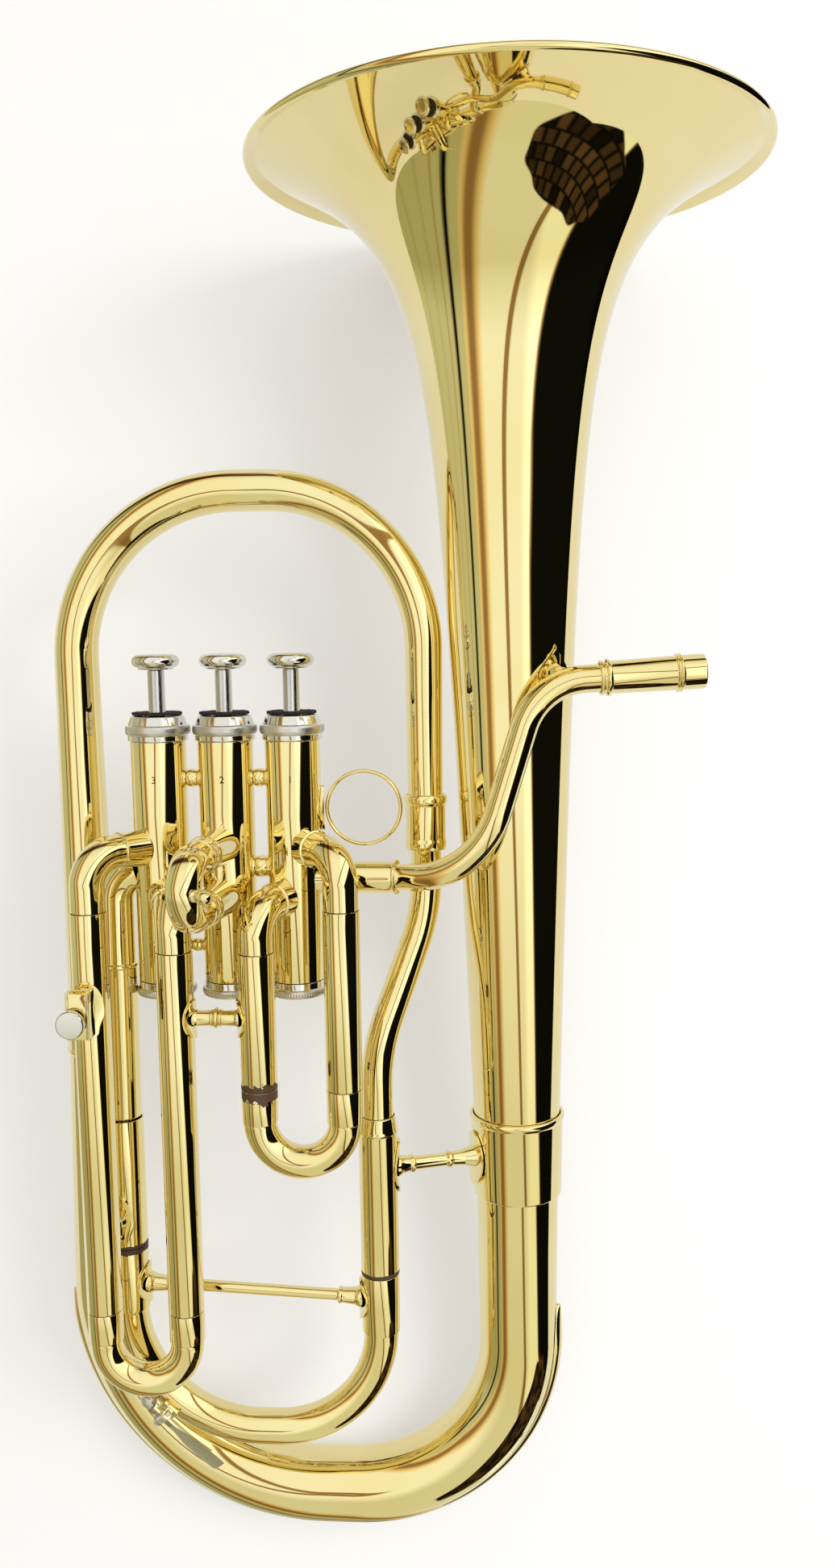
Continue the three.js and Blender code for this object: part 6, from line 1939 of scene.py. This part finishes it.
    def build_world(self) -> None:
        """Makes the soft surroundings: pale panels overhead with dark gaps between them."""
        world = bpy.data.worlds.new("studio_room")
        bpy.context.scene.world = world
        world.use_nodes = True
        tree = world.node_tree
        tree.nodes.clear()
        direction = tree.nodes.new("ShaderNodeTexCoord").outputs["Generated"]
        split = tree.nodes.new("ShaderNodeSeparateXYZ")
        feed(tree, split.inputs[0], direction)
        parts = split.outputs
        sides = []
        for slant, shift in self.slants:
            fold = maths(tree, "ABSOLUTE", maths(tree, "ADD", parts["Y"], shift))
            sides.append(maths(tree, "MULTIPLY_ADD", fold, -slant, parts["X"]))
        sides.append(parts["Y"])
        bands = zip(sides, (self.across, self.aslant, self.along))
        panels, *tones = [self.ramp(tree, self.tilt(tree, side, parts["Z"]), stops) for side, stops in bands]
        for tone in tones:
            panels = mixed(tree, 1.0, panels, tone, "MULTIPLY")
        room = tree.nodes.new("ShaderNodeBackground")
        room.inputs["Strength"].default_value = self.brightest ** 3
        feed(tree, room.inputs["Color"], self.shelves(tree, direction, split, panels))
        backdrop = tree.nodes.new("ShaderNodeBackground")
        feed(tree, backdrop.inputs["Color"], self.backdrop)
        seen = tree.nodes.new("ShaderNodeLightPath").outputs["Is Camera Ray"]
        output = tree.nodes.new("ShaderNodeOutputWorld")
        feed(tree, output.inputs["Surface"], mixed_shaders(tree, seen, room.outputs[0], backdrop.outputs[0]))

    def shelves(
        self, tree: bpy.types.NodeTree, direction: Socket, split: bpy.types.Node, panels: Socket
    ) -> Socket:
        """Lays a dim patch of shelves with a frayed edge over the panels, low in front of the horn.

        Args:
            tree: The world's nodes.
            direction: The direction.
            split: The node with the direction's three parts.
            panels: The colour of the panels.

        Returns:
            The colour with the patch in it.
        """
        near = tree.nodes.new("ShaderNodeVectorMath")
        near.operation = "DOT_PRODUCT"
        near.inputs[1].default_value = self.shelf
        feed(tree, near.inputs[0], direction)
        fray = noisy(tree, direction, self.fray_scale, detail=1.0)
        frayed = maths(tree, "MULTIPLY_ADD", fray, self.fray_depth, near.outputs["Value"])
        patch = ranged(tree, frayed, span=(self.shelf_edge, self.shelf_edge + self.fray_soft))
        flat = tree.nodes.new("ShaderNodeCombineXYZ")
        feed(tree, flat.inputs["X"], split.outputs["X"])
        feed(tree, flat.inputs["Y"], split.outputs["Z"])
        goods = tree.nodes.new("ShaderNodeTexBrick")
        feed(tree, goods.inputs["Vector"], flat.outputs[0])
        for name, size in self.goods:
            goods.inputs[name].default_value = size
        for name, tone in (("Color1", Tone.CARD), ("Color2", Tone.BROWN), ("Mortar", Tone.CARD)):
            feed(tree, goods.inputs[name], tuple(level / self.brightest ** 3 for level in tone.value))
        return mixed(tree, patch, panels, goods.outputs["Color"])

    @staticmethod
    def tilt(tree: bpy.types.NodeTree, side: Socket, up: Socket) -> Socket:
        """Measures the tilt from straight up towards one side.

        Args:
            tree: The world's nodes.
            side: How far the direction goes to that side.
            up: How far it goes up.

        Returns:
            The tilt from 0 to 1, where half is straight up.
        """
        angle = maths(tree, "ARCTAN2", side, maths(tree, "ADD", up, 1.0))
        return ranged(tree, angle, span=(-math.pi / 2, math.pi / 2))

    def ramp(self, tree: bpy.types.NodeTree, share: Socket, stops: Sequence[tuple[float, Tone]]) -> Socket:
        """Makes a colour that changes with a tilt.

        Args:
            tree: The world's nodes.
            share: The tilt from 0 to 1.
            stops: Tilt in degrees and tone of each stop.

        Returns:
            The colour, as a share of the brightest one.
        """
        node = tree.nodes.new("ShaderNodeValToRGB")
        marks = node.color_ramp.elements
        marks.remove(marks[1])
        for index, (degrees, tone) in enumerate(stops):
            place = (degrees + 180) / 360
            mark = marks[0] if index == 0 else marks.new(place)
            mark.position = place
            mark.color = (*[level / self.brightest for level in tone.value], 1.0)
        feed(tree, node.inputs["Fac"], share)
        return node.outputs["Color"]

    def build_lamps(self) -> None:
        """Makes the soft key light from the right that lays the shadows to the left."""
        lamp = bpy.data.lights.new("window", "AREA")
        lamp.shape = "RECTANGLE"
        lamp.size = self.lamp_size
        lamp.size_y = self.lamp_size
        lamp.energy = self.lamp_power
        lamp.color = self.lamp_colour
        window = bpy.data.objects.new("window", lamp)
        window.location = self.lamp_place
        aim = Vector(self.lamp_aim) - window.location
        window.rotation_euler = aim.to_track_quat("-Z", "Y").to_euler()
        window.visible_glossy = False
        bpy.context.scene.collection.objects.link(window)

    def build_camera(self) -> None:
        """Sets the camera where the photograph was taken from."""
        lens = bpy.data.cameras.new("camera")
        lens.sensor_width = self.sensor_width
        lens.lens = self.focal_length
        lens.clip_start, lens.clip_end = self.clip
        camera = bpy.data.objects.new("camera", lens)
        camera.matrix_world = self.camera_matrix()
        bpy.context.scene.collection.objects.link(camera)
        bpy.context.scene.camera = camera

    @staticmethod
    def camera_matrix() -> Matrix:
        """Returns the camera's place in the part's frame."""
        side = Vector((0.99854, -0.00692, -0.05355))
        up = Vector((-0.01330, -0.99271, -0.11980))
        front = Vector((-0.05233, 0.12034, -0.99135))
        origin = Vector((34.0, -243.0, 500.0))
        eye = -Vector((origin.dot(side), origin.dot(up), origin.dot(front)))
        to_horn = Matrix((side, up, front))
        right = to_horn @ Vector((1, 0, 0))
        above = to_horn @ Vector((0, -1, 0))
        behind = to_horn @ Vector((0, 0, -1))
        turn = HORN.to_3x3().normalized()
        axes = Matrix((turn @ right, turn @ above, turn @ behind)).transposed().to_4x4()
        return Matrix.Translation(HORN @ eye) @ axes


def main() -> None:
    """Builds the horn and the studio, piece by piece."""
    logging.basicConfig(level=logging.INFO, format="%(name)s: %(message)s")
    view = bpy.context.scene.view_settings
    view.view_transform = "Standard"
    bell, slide, valves = Bell(), TuningSlide(), Valves()
    bell.build()
    BottomBow().build()
    TopBow().build()
    ReturnPipe().build()
    slide.build()
    valves.build()
    LongSlide(
        1, valves.side(1), (-65.2, 266.0, 287.0), (-98.4, 286.5, 303.5), 357.5, 371.0, 387.5, 16.5,
        Body.FIRST_SLIDE, greased=True, collar=15.5,
    ).build()
    SecondSlide().build()
    LongSlide(
        3, valves.side(3), (-163.2, 266.0, 287.5), (-130.3, 285.0, 303.0), 449.5, 462.0, 479.5, 16.3,
        Body.THIRD_SLIDE, collar=19.5,
    ).build()
    Leadpipe().build(bell, valves)
    FingerRing().build(valves)
    Braces().build(bell, slide)
    LyreBox().build()
    Studio().build()


if __name__ == "__main__":
    main()
